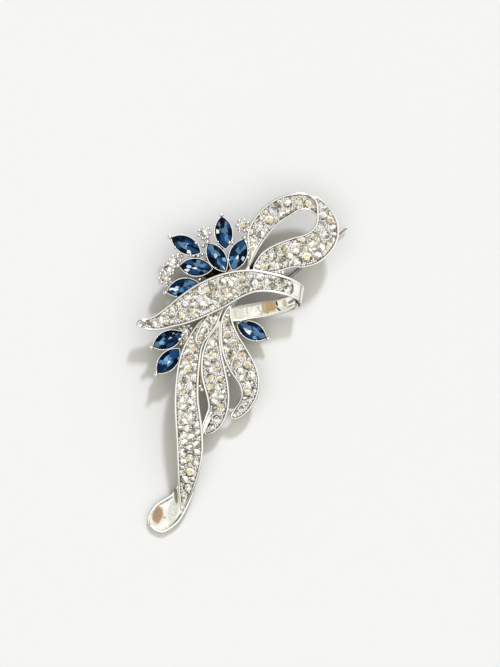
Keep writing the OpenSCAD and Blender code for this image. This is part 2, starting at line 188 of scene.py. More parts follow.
# The ribbons are cast strips of white metal, polished and plated. Each has a rounded rim along
# both edges and a sunk channel between them for the paving, and its ends run under the others.
RIM_W = 0.62
RIM_RISE = 0.24
RIM_POWER = 0.85
RIBBON_T = 1.3
LEAF_T = 1.0
CURL_T = 1.2
EDGE_ROUND = 0.18
BACK_LIP = 0.4
BAND_DISH = 0.12
CHANNEL_D = 0.7
CHANNEL_LEAST = 0.15
CHANNEL_EASE = 0.5
SHALLOW = 0.06
STRIP_D = 0.24
CURL_D = 0.3
ARCH_STEPS = 6
FLOOR_STEPS = 8
ROW_STEPS = 8
OUTLINE_STEPS = 60
WELD = 0.002
SHARP = radians(35)

# Rows of the band: where its paving ends in a round, and where its back and its face turn down
PAVED_TO = 12.75
PAVED_ROUND = 0.45
BAND_FOLD = (14, 16.5)

# How much painted shade the metal takes, from 0 on a polished rim to 1 in the deepest hollow
RIM_FOOT_SHADE = 0.45
MIDDLE_DARK = 0.6
UNDER_DARK = 1.0
WALL_FADE = 0.3
PATCHES_TO = 0.7
BRIGHT = (0.98, 0.97, 0.965, 1)
# The colour of the painted shade in the ribbons' hollows and under them
HOLLOW_SHADE = (0.17, 0.14, 0.08, 1)

# Each row: one edge x, y, z, then the other edge x, y, z, in mm, along the top face
LOOP_UPPER = [
    (0.4, 23.4, 8.7, 1.6, 23.4, 8.7), (1.1, 25.6, 7.9, 2.1, 25.6, 7.9),
    (1.6, 28.2, 7.6, 3.4, 28.2, 7.6), (1.4, 30.6, 7.9, 4.8, 30.6, 7.6),
    (1.2, 33.2, 8.4, 6.4, 32.9, 8), (1.9, 35.8, 8.8, 8.1, 35, 8.3),
    (3.6, 38.5, 9.1, 10.2, 36.9, 8.5), (6.4, 41.2, 9.3, 12.4, 38.2, 8.6),
    (9.6, 43.1, 9.3, 14.4, 39.4, 8.6), (13, 44, 9.2, 16.2, 39.8, 8.5),
    (16, 44.1, 8.9, 17.6, 39.4, 8.4), (18.6, 43.2, 8.6, 18.8, 38.6, 8.3),
    (20.4, 41.6, 8.4, 19.8, 38, 8.2)]
LOOP_LOWER = [
    (16.6, 44.1, 9, 16.4, 43.7, 9), (19.4, 43.1, 9.5, 18.2, 42.6, 9.4),
    (21.6, 41.4, 9.7, 18.9, 41, 9.5), (23.4, 39.1, 9.8, 19.05, 39.2, 9.5),
    (24.6, 36.4, 9.8, 19.05, 37.3, 9.4), (24.8, 33.4, 9.7, 18.5, 35.6, 9.3),
    (24, 30.7, 9.6, 17.2, 34.2, 9.2), (22.2, 28.2, 9.5, 15.2, 33.3, 9.1),
    (19.6, 26.1, 9.4, 12.8, 32.7, 9), (16.4, 25, 9.3, 10.4, 31.9, 8.9),
    (13, 24.9, 9.1, 8.2, 31, 8.8), (10.2, 24.1, 8.8, 6.2, 29.9, 8.6),
    (7.4, 23.5, 8.7, 4.6, 28.6, 8.4), (5, 23.5, 8.6, 3.5, 27, 8.3), (3.4, 24, 8.5, 2.9, 25.8, 8.3),
    (2.8, 24.6, 8.4, 2.75, 25, 8.3)]
BAND = [
    (-27, 11, 8, -27, 10.4, 8), (-26.2, 11.8, 8, -26, 9.2, 7.9), (-24.4, 12, 7.9, -24, 8.75, 7.7),
    (-22.2, 13, 8, -21.2, 8.85, 7.8), (-19.4, 15.1, 8.3, -18, 9.6, 8.1),
    (-16.2, 17.7, 8.7, -14.6, 10.4, 8.5), (-12.8, 20.1, 9.1, -11.2, 11.6, 8.9),
    (-9.2, 22, 9.5, -7.6, 13.2, 9.3), (-5.2, 23.5, 9.8, -4, 15, 9.7),
    (-1.2, 24.3, 10, -0.6, 17, 9.9), (2.8, 24.4, 10.1, 2.8, 18.4, 10),
    (6.6, 23.8, 10, 6.4, 18.6, 10), (10, 23, 9.9, 9.6, 18.1, 9.8), (13, 22, 9.5, 12.6, 17.3, 9.4),
    (15.1, 20.8, 8.6, 14.6, 16.4, 8.5), (15.9, 19.8, 7.2, 15.3, 15.6, 7.1),
    (15.2, 19, 5.8, 14.7, 14.9, 5.7), (13.2, 18.2, 5, 13, 14, 4.9),
    (10.4, 17.4, 4.7, 10.4, 13.15, 4.7), (6.6, 16.6, 4.7, 6.6, 12.3, 4.7),
    (2.8, 15.9, 4.9, 2.8, 11.8, 4.9), (-0.6, 15.3, 5.3, -0.6, 11.2, 5.3),
    (-3.6, 14.7, 5.9, -3.2, 11, 5.9)]
TAIL_LEFT = [
    (-4.8, 15.8, 8.3, -6.8, 15.6, 8.3), (-5.6, 13.4, 8.05, -8.9, 12.9, 8.05),
    (-6.6, 11, 8.15, -11.2, 11, 8.15), (-7.9, 8.9, 8.28, -12.9, 8.8, 8.25),
    (-9.2, 6.8, 8.38, -14.2, 6.6, 8.33), (-10.2, 4.6, 8.65, -15.3, 4.6, 8.6),
    (-10.7, 2.2, 9.1, -16.2, 2.2, 8.9), (-11, -0.4, 9.4, -16.8, -0.4, 9.2),
    (-11.2, -3.2, 9.6, -17.2, -3.2, 9.5), (-11.3, -6.2, 9.7, -17.45, -6.2, 9.6),
    (-11.2, -9.4, 9.6, -17.55, -9.4, 9.5), (-10.8, -12.6, 9.3, -17.5, -12.6, 9.2),
    (-10.4, -15.8, 8.9, -17.35, -15.8, 8.8), (-10.15, -19, 8.3, -17.15, -19, 8.2),
    (-10.15, -22.2, 7.6, -17.05, -22.2, 7.5), (-10.6, -25.6, 6.8, -16.95, -25.6, 6.6),
    (-11.4, -29, 5.8, -16.85, -29, 5.6), (-12.5, -32.2, 4.8, -16.8, -32, 4.6),
    (-13.7, -35, 3.8, -16.6, -34.8, 3.7), (-14.8, -37.2, 3, -16.3, -37, 3),
    (-15.6, -38.3, 2.6, -16.1, -38.2, 2.6)]
TAIL_CURL = [
    (-12.6, -33, 3.5, -16.4, -30.4, 3.5), (-13.6, -35.6, 3, -17.3, -32, 3),
    (-14.8, -38.2, 2.5, -18.6, -33.8, 2.5), (-16.4, -40.8, 2, -20.4, -35, 2.1),
    (-18.4, -42.7, 1.6, -22.2, -36.1, 1.8), (-20.6, -43.9, 1.4, -23.7, -37.8, 1.6),
    (-22.6, -43.5, 1.3, -24.5, -39.8, 1.5), (-24, -42.4, 1.3, -24.6, -41.4, 1.4)]
LEAF = [
    (-4.9, 14.5, 8.2, -8, 14.3, 8.2), (-5.6, 12.6, 8.8, -9.2, 12.4, 8.8),
    (-6.4, 10.4, 9, -10.6, 10.6, 9), (-7.6, 8.6, 9.15, -11.6, 8.8, 9.1),
    (-8.8, 7.1, 9.25, -12.25, 7.1, 9.15), (-9.8, 5.8, 9.25, -12.1, 5.8, 9.15),
    (-10.8, 5.3, 9.15, -11.4, 5.3, 9.15)]
TAIL_MIDDLE = [
    (-5.7, 11.2, 8.1, -6.1, 11.2, 8.1), (-5.7, 9.2, 8.2, -7.5, 9.2, 8.1),
    (-5.7, 7, 8.3, -9, 7, 8.3), (-5.5, 4.6, 8.4, -10, 4.6, 8.6), (-5.1, 2, 8.3, -10.6, 2, 8.6),
    (-4.5, -0.6, 8.1, -10.8, -0.6, 8.5), (-3.95, -3.2, 7.8, -10.6, -3.2, 8.3),
    (-3.5, -5.8, 7.4, -10, -5.8, 8), (-3.3, -8.4, 6.9, -9.3, -8.4, 7.5),
    (-3.5, -11.2, 6.3, -8.95, -11.2, 6.8), (-4.2, -13.8, 5.7, -9.8, -13.7, 6.1),
    (-5.5, -16.1, 5.2, -10.7, -15.8, 5.6), (-7.4, -17.7, 4.9, -10.9, -17.1, 5.2),
    (-9.4, -18.3, 4.8, -10.8, -18.1, 4.9)]
TAIL_RIGHT = [
    (-2.9, 15.2, 8.5, -3.4, 15.2, 8.5), (-2.8, 13.2, 8.1, -4.9, 13.2, 8.1),
    (-2.4, 11.2, 8, -5.6, 11.2, 8.3), (-1.7, 9.2, 8.1, -5.8, 9.2, 8.5),
    (-0.6, 7, 8.1, -5.8, 7, 8.6), (0.9, 4.6, 8, -5.55, 4.6, 8.6), (2.3, 2.2, 7.9, -5, 2.2, 8.5),
    (3.5, -0.2, 7.7, -4.1, -0.1, 8.3), (4.3, -2.8, 7.3, -2.7, -2.6, 7.9),
    (4.5, -5.4, 6.8, -1.1, -5, 7.3), (4.1, -7.8, 6.2, -0.4, -7.4, 6.6),
    (3.1, -10, 5.6, -0.8, -9.4, 5.9), (1.6, -12.2, 5.1, -1.9, -11, 5.3),
    (-0.2, -13.7, 4.8, -2.8, -12.3, 4.9), (-1.8, -14.2, 4.7, -3.1, -13.2, 4.75),
    (-2.7, -13.9, 4.65, -2.9, -13.8, 4.65)]


def ease(value, start, over):
    """0 up to a start, then rising to 1 over a stretch."""
    return min(max((value - start) / over, 0), 1)


def smooth(places, t):
    """Point at t on the smooth curve through a list of places."""
    i = min(int(t), len(places) - 2)
    f = t - i
    before = places[max(i - 1, 0)]
    a = places[i]
    b = places[i + 1]
    after = places[min(i + 2, len(places) - 1)]
    bend = 2 * before - 5 * a + 4 * b - after
    twist = 3 * a - before - 3 * b + after
    return a + ((b - before) * f + bend * f ** 2 + twist * f ** 3) / 2


class Ribbon:
    """The top face of a ribbon. t counts its rows, x is mm across it and h mm above it."""

    def __init__(self, rows, deep=None):
        self.near = [Vector(row[:3]) for row in rows]
        self.far = [Vector(row[3:]) for row in rows]
        self.last = len(rows) - 1
        self.deep = deep or self.channel
        marks = [self.last * k / OUTLINE_STEPS for k in range(OUTLINE_STEPS + 1)]
        self.outline = [(smooth(self.near, t), smooth(self.far, t)) for t in marks]

    def width(self, t):
        return (smooth(self.far, t) - smooth(self.near, t)).length

    def channel(self, t, share):
        """Depth of the floor: the channel closes where the ribbon gets too narrow for it."""
        room = self.width(t) - 2 * RIM_W
        return SHALLOW + (CHANNEL_D - SHALLOW) * ease(room, CHANNEL_LEAST, CHANNEL_EASE)

    def frame(self, t):
        """One edge, the way across, the width, and the way out of the face."""
        edge = smooth(self.near, t)
        other = smooth(self.far, t)
        step = 0.02
        ahead = min(t + step, self.last)
        behind = max(t - step, 0)
        run = smooth(self.near, ahead) + smooth(self.far, ahead)
        run -= smooth(self.near, behind) + smooth(self.far, behind)
        side = (other - edge).normalized()
        return edge, side, (other - edge).length, side.cross(run).normalized()

    def point(self, t, x, h):
        edge, side, _, out = self.frame(t)
        return edge + side * x + out * h


def band_depth(t, share):
    """The band's channel ends in a round before its fold, and the rest is plain."""
    shut = ease(t, PAVED_TO + PAVED_ROUND * sin(pi * share), 0.08)
    return SHALLOW + (band.channel(t, share) - SHALLOW) * (1 - shut)


def upper_depth(t, share):
    """The upper strand is plain where it comes up from under the band."""
    return STRIP_D + (loop_upper.channel(t, share) - STRIP_D) * ease(t, 2.95, 0.2)


def curl_depth(t, share):
    """The curled end is dished like a spoon, deepest in its middle."""
    return SHALLOW + CURL_D * ease(t, 1.5, 1.5) * sin(pi * share) ** 1.3


def middle_depth(t, share):
    """The middle tail's channel leaves its left edge near the tip, and a plain web is left there."""
    shut = ease(share, 1.1 - 0.45 * ease(t, 8.8, 1.4), 0.08)
    return SHALLOW + (tail_middle.channel(t, share) - SHALLOW) * (1 - shut)


loop_upper = Ribbon(LOOP_UPPER, upper_depth)
loop_lower = Ribbon(LOOP_LOWER)
band = Ribbon(BAND, band_depth)
tail_left = Ribbon(TAIL_LEFT)
tail_curl = Ribbon(TAIL_CURL, curl_depth)
leaf = Ribbon(LEAF)
tail_middle = Ribbon(TAIL_MIDDLE, middle_depth)
tail_right = Ribbon(TAIL_RIGHT)


def section(w, thick, deep, dish):
    """Points round a ribbon w wide, as distance across and height, with its floor's depths."""
    r = min(RIM_W, w / 3)
    arch = []
    for k in range(ARCH_STEPS + 1):
        turn = pi * k / ARCH_STEPS
        arch.append((r / 2 * (1 - cos(turn)), max(sin(turn), 0) ** RIM_POWER - 1))
    left = min(RIM_RISE, deep[0])
    right = min(RIM_RISE, deep[-1])
    floor = [(r + (w - 2 * r) * k / FLOOR_STEPS, -deep[k]) for k in range(FLOOR_STEPS + 1)]
    e = min(EDGE_ROUND, w / 8)
    lip = min(BACK_LIP, w / 4)
    under = [(w, e - thick), (w - e, -thick), (w - lip, -thick), (w - lip - e / 2, dish - thick),
             (lip + e / 2, dish - thick), (lip, -thick), (e, -thick), (0, e - thick)]
    return ([(x, left * h) for x, h in arch] + floor
            + [(w - x, right * h) for x, h in reversed(arch)] + under)


def hollow_at(k, h, back, face):
    """How much painted shade a section's point takes, where its back or its face may be shaded all
    over.
    """
    step = k - ARCH_STEPS - 1
    last = FLOOR_STEPS + ARCH_STEPS + 1
    if step > last:
        return back
    if face:
        return face
    if step in (-ARCH_STEPS - 1, -1, FLOOR_STEPS + 1, last):
        return RIM_FOOT_SHADE
    if not 0 <= step <= FLOOR_STEPS:
        return 0
    foot = 1 if step in (0, FLOOR_STEPS) else MIDDLE_DARK
    return foot * ease(-h, RIM_RISE, WALL_FADE)


def start(primitive, **settings):
    """A new primitive, with nothing else selected."""
    bpy.ops.object.select_all(action="DESELECT")
    primitive(**settings)
    return bpy.context.object


def choose(piece):
    """Make a piece the only one selected."""
    bpy.ops.object.select_all(action="DESELECT")
    bpy.context.view_layer.objects.active = piece
    piece.select_set(True)


def mode(name):
    bpy.ops.object.mode_set(mode=name)


def close_shell():
    """Weld, cap and turn outwards the mesh in hand, then shade it smooth between its edges."""
    mode("EDIT")
    bpy.ops.mesh.select_all(action="SELECT")
    bpy.ops.mesh.remove_doubles(threshold=WELD * MM)
    bpy.ops.mesh.fill_holes(sides=0)
    bpy.ops.mesh.normals_make_consistent(inside=False)
    mode("OBJECT")
    bpy.ops.object.shade_smooth_by_angle(angle=SHARP)


def lay_ribbon(ribbon, thick=RIBBON_T, dish=0.0, fold=(inf, inf)):
    """A closed ribbon: a grid wrapped round its section. Its back takes painted shade up to the
    first row of its fold and its face from the second, where they look down."""
    stations = ribbon.last * ROW_STEPS
    rings = []
    for i in range(stations + 1):
        t = i / ROW_STEPS
        edge, side, w, out = ribbon.frame(t)
        deep = [ribbon.deep(t, k / FLOOR_STEPS) for k in range(FLOOR_STEPS + 1)]
        back = UNDER_DARK if t < fold[0] else 0
        face = UNDER_DARK if t > fold[1] else 0
        rings.append([(edge + side * x + out * h, hollow_at(k, h, back, face))
                      for k, (x, h) in enumerate(section(w, thick, deep, dish))])
    around = len(rings[0])
    strip = start(
        bpy.ops.mesh.primitive_grid_add, x_subdivisions=around, y_subdivisions=stations, size=1)
    hollow = strip.data.attributes.new("hollow", "FLOAT", "POINT")
    for point in strip.data.vertices:
        station = round((point.co.y + 0.5) * stations)
        corner = round((point.co.x + 0.5) * around) % around
        spot, depth = rings[station][corner]
        point.co = spot * MM
        hollow.data[point.index].value = depth
    close_shell()
    return strip


def dim(colour, share):
    """A colour made darker or lighter."""
    return tuple(c * share for c in colour)


def silver(name, patches=(), rough=0.1):
    """Polished plated metal with painted shade in its hollows and patches of painted reflection.

    A patch is its middle, its half sizes in mm, its turn in degrees and its colour; dark ones are
    painted shadow. Its outline is an oval, or nearly a box where its row says so. No patch shows
    on the sides with the deepest painted shade."""
    material, place = new_material(name)
    hollow = place.add("Attribute", {"attribute_name": "hollow"}, {}, "Fac")
    cloud = place.noise(700, 3)
    speckle = place.noise(2200, 3)
    deep_shade_side = hollow.maths("GREATER_THAN", hollow, PATCHES_TO)
    # Painted shade in the hollows, with a little random tone
    colour = (hollow * 0.95 + cloud * 0.06).mix(BRIGHT, HOLLOW_SHADE)
    # Each patch paints a reflection, or a shadow where it is dark
    for spot, radii, turn, tint, *shape in patches:
        near = place.add("Mapping", {"vector_type": "TEXTURE"}, {
            "Vector": place, "Location": Vector(spot) * MM, "Scale": Vector(radii) * MM,
            "Rotation": (0, 0, radians(turn))})
        if shape:
            near = near.add("VectorMath", {"operation": "MULTIPLY"}, {0: near, 1: near})
        blob = near.add("VectorMath", {"operation": "DOT_PRODUCT"}, {0: near, 1: near}, "Value")
        ragged = 1.75 - blob * 1.5 + (speckle - 0.5) * 2
        ragged = ragged.add("Clamp", {}, {"Value": ragged - deep_shade_side * 9})
        mottled = (speckle * 1.4 - 0.2).mix((*dim(tint, 0.6), 1), (*dim(tint, 1.25), 1))
        colour = ragged.mix(colour, mottled)
    bump = speckle.add("Bump", {}, {"Height": cloud, "Strength": 0.2, "Distance": 0.02 * MM})
    surface(place, {
        "Base Color": colour,
        "Metallic": 1.0,
        "Roughness": cloud * 0.12 + rough,
        "Normal": bump})
    return material


def keep(piece, name, material, node):
    """Name a finished piece, give it its finish, and let it ride in the place of its node."""
    choose(piece)
    bpy.ops.object.transform_apply()
    piece.name = name
    piece.data.name = name
    piece.data.materials.clear()
    piece.data.materials.append(material)
    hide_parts(node)
    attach(piece, "brooch")


def solder(piece, name, metal):
    """Keep a piece of the soldered frame."""
    keep(piece, name, metal, "frame")


plate = silver("polished_plate")
# The band's patches are painted reflections on its back strand, and its near-black ones are painted
# shadow at its fold
plate_band = silver("polished_band", [
    ((3.6, 13.9, 5.5), (7.6, 2.6, 1.7), 11, (0.97, 0.97, 0.96), "square"),
    ((-1.3, 13.0, 5.5), (1.9, 2.1, 1.7), 9, (0.82, 0.81, 0.75), "square"),
    ((10.6, 14.6, 5.8), (1.8, 0.7, 1.7), 14, (0.84, 0.83, 0.77)),
    ((4.3, 15.55, 5.5), (6.4, 0.16, 1.5), 11.5, (0.60, 0.58, 0.50), "square"),
    ((8.6, 13.75, 5.5), (5.0, 0.12, 1.5), 12, (0.66, 0.64, 0.56), "square"),
    ((-1.9, 13.3, 5.5), (0.5, 1.9, 1.5), 8, (0.58, 0.55, 0.46)),
    ((1.2, 13.6, 5.5), (0.45, 1.8, 1.5), 4, (0.74, 0.73, 0.66)),
    ((4.1, 14.6, 5.8), (0.4, 1.0, 1.5), 12, (0.72, 0.71, 0.63)),
    ((4.9, 13.3, 6.0), (0.3, 0.9, 1.5), 15, (0.60, 0.58, 0.50)),
    ((5.65, 14.65, 6.0), (0.7, 1.45, 1.5), 9, (0.50, 0.47, 0.34), "square"),
    ((6.4, 13.7, 6.0), (0.6, 0.7, 1.5), 9, (0.48, 0.40, 0.25)),
    ((7.35, 15.0, 6.0), (1.35, 1.35, 1.5), 9, (0.54, 0.37, 0.20), "square"),
    ((8.85, 15.7, 6.0), (0.3, 0.85, 1.5), 14, (0.06, 0.05, 0.035)),
    ((9.3, 14.3, 6.0), (0.8, 0.25, 1.5), -40, (0.06, 0.05, 0.035)),
    ((10.9, 15.8, 6.1), (0.7, 1.1, 1.5), 10, (0.56, 0.57, 0.48)),
    ((12.6, 16.3, 6.3), (1.2, 0.45, 1.5), 32, (0.26, 0.27, 0.23)),
    ((12.4, 15.1, 6.3), (1.1, 0.3, 1.5), 20, (0.44, 0.42, 0.37)),
    ((14.1, 16.2, 6.6), (1.0, 0.35, 1.5), -50, (0.04, 0.04, 0.03)),
    ((14.6, 15.3, 6.6), (0.28, 0.7, 1.5), 5, (0.10, 0.10, 0.08))], rough=0.24)
# Grey patches of painted reflection and shade on the plain end of the upper strand
plate_strip = silver("polished_strip", [
    ((2.5, 30.0, 7.6), (0.8, 1.0, 1.5), 10, (0.66, 0.64, 0.54)),
    ((2.0, 28.0, 7.6), (0.3, 1.6, 1.5), -6, (0.50, 0.47, 0.38)),
    ((1.5, 25.8, 7.6), (0.3, 1.0, 1.5), -10, (0.60, 0.57, 0.47))], rough=0.2)
# Patches of painted reflection and shade in the dish of the curled tail
plate_curl = silver("polished_curl", [
    ((-18.0, -38.0, 2.2), (1.5, 4.2, 3.0), -14, (0.72, 0.73, 0.70)),
    ((-17.3, -33.9, 2.6), (0.55, 2.6, 3.0), 4, (0.24, 0.20, 0.16)),
    ((-22.1, -39.2, 1.4), (1.5, 2.5, 2.5), -15, (0.42, 0.28, 0.19)),
    ((-20.4, -39.9, 1.4), (0.6, 0.35, 2.5), -20, (0.55, 0.48, 0.38))], rough=0.16)
solder(lay_ribbon(loop_upper), "loop_upper_ribbon", plate_strip)
solder(lay_ribbon(loop_lower), "loop_lower_ribbon", plate)
solder(lay_ribbon(band, dish=BAND_DISH, fold=BAND_FOLD), "band_ribbon", plate_band)
solder(lay_ribbon(tail_left), "tail_left_ribbon", plate)
solder(lay_ribbon(tail_curl, CURL_T), "tail_curl", plate_curl)
solder(lay_ribbon(leaf, LEAF_T), "leaf_ribbon", plate)
solder(lay_ribbon(tail_middle), "tail_middle_ribbon", plate)
solder(lay_ribbon(tail_right), "tail_right_ribbon", plate)


# A low round wire closes the band's channel where the paving ends, before the polished fold.
# Two thin wires edge the strand that runs back behind the band, and the band's left tip is
# curled over into a small plain loop of wire.
END_WIRE_R = 0.3
END_WIRE_H = -0.18
END_WIRE_PAST = 0.05
END_STEPS = 12
BACK_WIRE_R = 0.2
BACK_WIRE_IN = 0.2
BACK_ROWS = (16.4, 21.8)
BACK_STEPS = 36
TIP = Vector((-25.9, 10.55, 8.1))
TIP_LONG = 1.15
TIP_WIDE = 0.75
TIP_FROM = 0.9
TIP_TURN = 0.85 * 2 * pi
TIP_STEPS = 19
TIP_WIRE_R = 0.32


def wire(points, radius):
    """A round wire along a row of points, closed at both ends."""
    path = bpy.data.curves.new("wire", "CURVE")
    path.dimensions = "3D"
    path.bevel_depth = radius * MM
    path.bevel_resolution = 2
    path.use_fill_caps = True
    line = path.splines.new("POLY")
    line.points.add(len(points) - 1)
    for knot, point in zip(line.points, points):
        knot.co = (*(point * MM), 1)
    made = bpy.data.objects.new("wire", path)
    bpy.context.scene.collection.objects.link(made)
    choose(made)
    bpy.ops.object.convert(target="MESH")
    close_shell()
    return bpy.context.object


end_points = []
for k in range(END_STEPS + 1):
    share = k / END_STEPS
    t = PAVED_TO + END_WIRE_PAST + PAVED_ROUND * sin(pi * share)
    end_points.append(band.point(t, RIM_W / 2 + (band.width(t) - RIM_W) * share, END_WIRE_H))
solder(wire(end_points, END_WIRE_R), "band_end_wire", plate)

# A distance below 0 counts from the far edge
for name, inset in (("band_back_rim_upper", BACK_WIRE_IN), ("band_back_rim_lower", -BACK_WIRE_IN)):
    rim_points = []
    for k in range(BACK_STEPS + 1):
        t = BACK_ROWS[0] + (BACK_ROWS[1] - BACK_ROWS[0]) * k / BACK_STEPS
        rim_points.append(band.point(t, inset % band.width(t), 0.02 - RIBBON_T))
    solder(wire(rim_points, BACK_WIRE_R), name, plate)

tip_points = []
for k in range(TIP_STEPS + 1):
    turn = TIP_FROM + TIP_TURN * k / TIP_STEPS
    tip_points.append(TIP + Vector((TIP_LONG * cos(turn), TIP_WIDE * sin(turn), 0)))
solder(wire(tip_points, TIP_WIRE_R), "band_tip", plate)


# The paving is round foil-backed rhinestones set close together, held by grains of metal
# raised between them. The larger and the tinted stones lie at listed places.
STONE_SEAT = -0.42
SETTING_D = CHANNEL_D - 0.1
STONE_SIDES = 10
GIRDLE_H = 0.06
GIRDLE_IN = 0.9
CROWN = 0.28
TABLE = 0.58
CULET_D = 0.35
CULET_IN = 0.4
GAP = 0.02
BIG_STONES = (0.88, 1.18)
LITTLE_STONES = (0.5, 0.75)
GRAIN_SIZES = (0.28, 0.28)
PACK_STEP = 0.04
COVERED_AT = 0.6
SEEK_STEPS = 20
TINTS = {
    "clear": (0.95, 0.93, 0.85),
    "grey": (0.40, 0.37, 0.25),
    "lilac": (0.80, 0.82, 0.92),
    "yellow": (0.84, 0.76, 0.50),
    "tan": (0.62, 0.49, 0.34),
    "amber": (0.76, 0.58, 0.33)}
# The painted shade round a stone's girdle, below it and on its shaded side
GIRDLE_SHADE = (0.05, 0.042, 0.022)
FILL_TINTS = ["clear"] * 14 + ["grey"] * 3 + ["yellow", "tan"]
WHITE_TINTS = ["clear"] * 18 + ["yellow"]

# What share of its tint a facet throws back, on the shaded and on the lit side of a stone
TINTED_TABLE = [1.15, 1.0, 0.85, 0.55]
SHADED_TABLE = [0.9, 0.45, 0.15]
LIT_TABLE = [1.25, 1.2, 0.95]
SHADED_CROWN = [1.1, 0.6, 0.25, 0.06]
LIT_CROWN = [1.25, 1.2, 1.15, 0.7]

# Each row: x, y and radius of a stone in mm, and its tint where it isn't clear
SET_LOOP_UPPER = [
    (2.9, 32.4, 1.2), (4.9, 33.5, 1), (4.5, 36, 1), (6.9, 37.1, 1.25, "yellow"),
    (8.2, 39.3, 1.15, "lilac"), (11.7, 41.4, 1.1), (14.6, 41.9, 1, "yellow"),
    (16.8, 41.3, 1.1, "yellow")]
SET_LOOP_LOWER = [
    (20, 41.2, 0.8, "lilac"), (20.6, 38.2, 1.1, "lilac"), (22.5, 37, 1.1, "tan"),
    (20, 35.6, 1, "lilac"), (21.2, 33.3, 1.1), (18.7, 33.2, 0.8, "amber"),
    (22.2, 30.9, 0.9, "yellow"), (17.3, 31.3, 1.2), (20.1, 30, 1.1), (11.1, 29.7, 1.1, "amber"),
    (16.6, 27.6, 1.3, "yellow"), (5.8, 25.4, 1.2, "yellow")]
SET_BAND = [
    (-4.5, 18.9, 0.95, "amber"), (-5, 21.3, 0.9), (-9.1, 19.4, 0.9, "yellow"), (-10.2, 15.2, 1.2),
    (-13.1, 13.9, 1.05, "amber"), (-14.7, 15.5, 0.9, "lilac"), (-15.8, 12.6, 1.05, "yellow"),
    (-18.2, 12.6, 0.8, "grey"), (-12.1, 17.7, 0.85), (-7, 16.4, 0.85), (-0.5, 19.7, 0.9, "tan"),
    (2.9, 20.9, 1.1, "lilac"), (6.7, 21.2, 1)]
SET_LEAF = [
    (-6.9, 12.2, 0.85), (-9.1, 10.3, 0.95), (-9.9, 8.6, 0.85), (-10.7, 6.9, 0.9, "tan")]
SET_TAIL_LEFT = [
    (-12.5, 4.1, 1.15, "tan"), (-13.7, 1.6, 1.25, "tan"), (-13.9, -1.2, 1.2, "yellow"),
    (-14.5, -3.8, 1.1, "grey"), (-15.2, -7.1, 0.8, "amber"), (-13, -7.5, 1), (-13.5, -9.7, 0.9),
    (-15, -11.2, 1), (-13, -13.4, 1.1), (-15.1, -14.8, 1), (-13.6, -28, 1.3, "yellow")]
SET_TAIL_MIDDLE = [
    (-7.4, 5.5, 1.1), (-7.8, 2.9, 1.2, "yellow"), (-7.2, 0.4, 0.95, "grey"), (-9.3, 0.2, 0.8),
    (-6.4, -1.5, 0.85, "tan"), (-8.3, -3.4, 0.95, "amber"), (-5.8, -3.8, 0.9, "amber"),
    (-8.1, -5.7, 0.85, "amber"), (-5.5, -8.7, 0.9), (-5.3, -10.7, 0.8, "amber"), (-6.6, -14.2, 1),
    (-8, -16.3, 0.75)]
SET_TAIL_RIGHT = [
    (-3.8, 7.7, 1.1, "tan"), (-2.3, 5.4, 1.1, "tan"), (-2.7, 2.6, 1.1, "grey"),
    (0.1, 2.5, 1.1, "amber"), (-1.5, 0.1, 1, "tan"), (1.2, -0.3, 1.2, "tan"), (2.1, -2.8, 1.15),
    (2, -5.3, 1.2), (1.9, -9, 0.62), (0.8, -10.4, 0.6), (-0.3, -11.6, 0.58), (-1.4, -12.6, 0.5)]


def under(spot, ribbon):
    """Whether a point lies under a ribbon that crosses above."""
    return any(intersect_point_quad_2d(spot.xy, a.xy, b.xy, d.xy, c.xy)
               for (a, b), (c, d) in zip(ribbon.outline, ribbon.outline[1:]))


def covered(spot, r, covers):
    """Whether a stone lies under one of the ribbons, with less than a fifth of it in sight."""
    ways = ((1, 0, 0), (-1, 0, 0), (0, 1, 0), (0, -1, 0))
    corners = [spot + Vector(way) * COVERED_AT * r for way in ways]
    return any(all(under(corner, ribbon) for corner in corners) for ribbon in covers)


def nearest(ribbon, x, y):
    """Row and distance across of the place on a ribbon that is seen at x, y."""
    best = (1e9, 0, 0)
    for k in range(ribbon.last * SEEK_STEPS):
        t = k / SEEK_STEPS
        edge, side, w, _ = ribbon.frame(t)
        off = Vector((x, y, edge.z)) - edge
        across = off.dot(side)
        miss = (off - side * across).length
        if 0 < across < w and miss < best[0]:
            best = (miss, t, across)
    return best[1:]


def pack_stones(ribbon, rows, span, covers, tints):
    """Places, ways out, radii and tints of the stones in a channel, then of the grains."""
    stones = []
    for x, y, r, *tint in rows:
        t, across = nearest(ribbon, x, y)
        spot = ribbon.point(t, across, STONE_SEAT)
        stones.append((spot, ribbon.frame(t)[3], r, *(tint or ["clear"])))

    def fill(sizes, least, gap, level, spots):
        """Go along the channel and try places across it for stones of random sizes."""
        into = []
        t = span[0]
        size = random.uniform(*sizes)
        while t < span[1]:
            edge, side, w, out = ribbon.frame(t)
            room = w - 2 * RIM_W
            r = min(size, room / 2 - 0.02)
            tries = []
            if r > least and ribbon.deep(t, 0.5) > SETTING_D:
                tries = [RIM_W + r + (room - 2 * r) * k / spots for k in range(spots + 1)]
                random.shuffle(tries)
            for x in tries:
                spot = edge + side * x + out * level
                if ribbon.deep(t, (x + r) / w) < SETTING_D:
                    continue
                if any((spot - s[0]).length < r + s[2] + gap for s in stones + into):
                    continue
                if covered(spot, r, covers):
                    continue
                into.append((spot, out, r, random.choice(tints)))
                size = random.uniform(*sizes)
                break
            else:
                t += PACK_STEP
        return into

    stones += fill(BIG_STONES, 0.6, GAP, STONE_SEAT, 12)
    stones += fill(LITTLE_STONES, 0.42, GAP, STONE_SEAT, 14)
    return stones, fill(GRAIN_SIZES, 0.1, -0.1, STONE_SEAT + 0.1, 16)


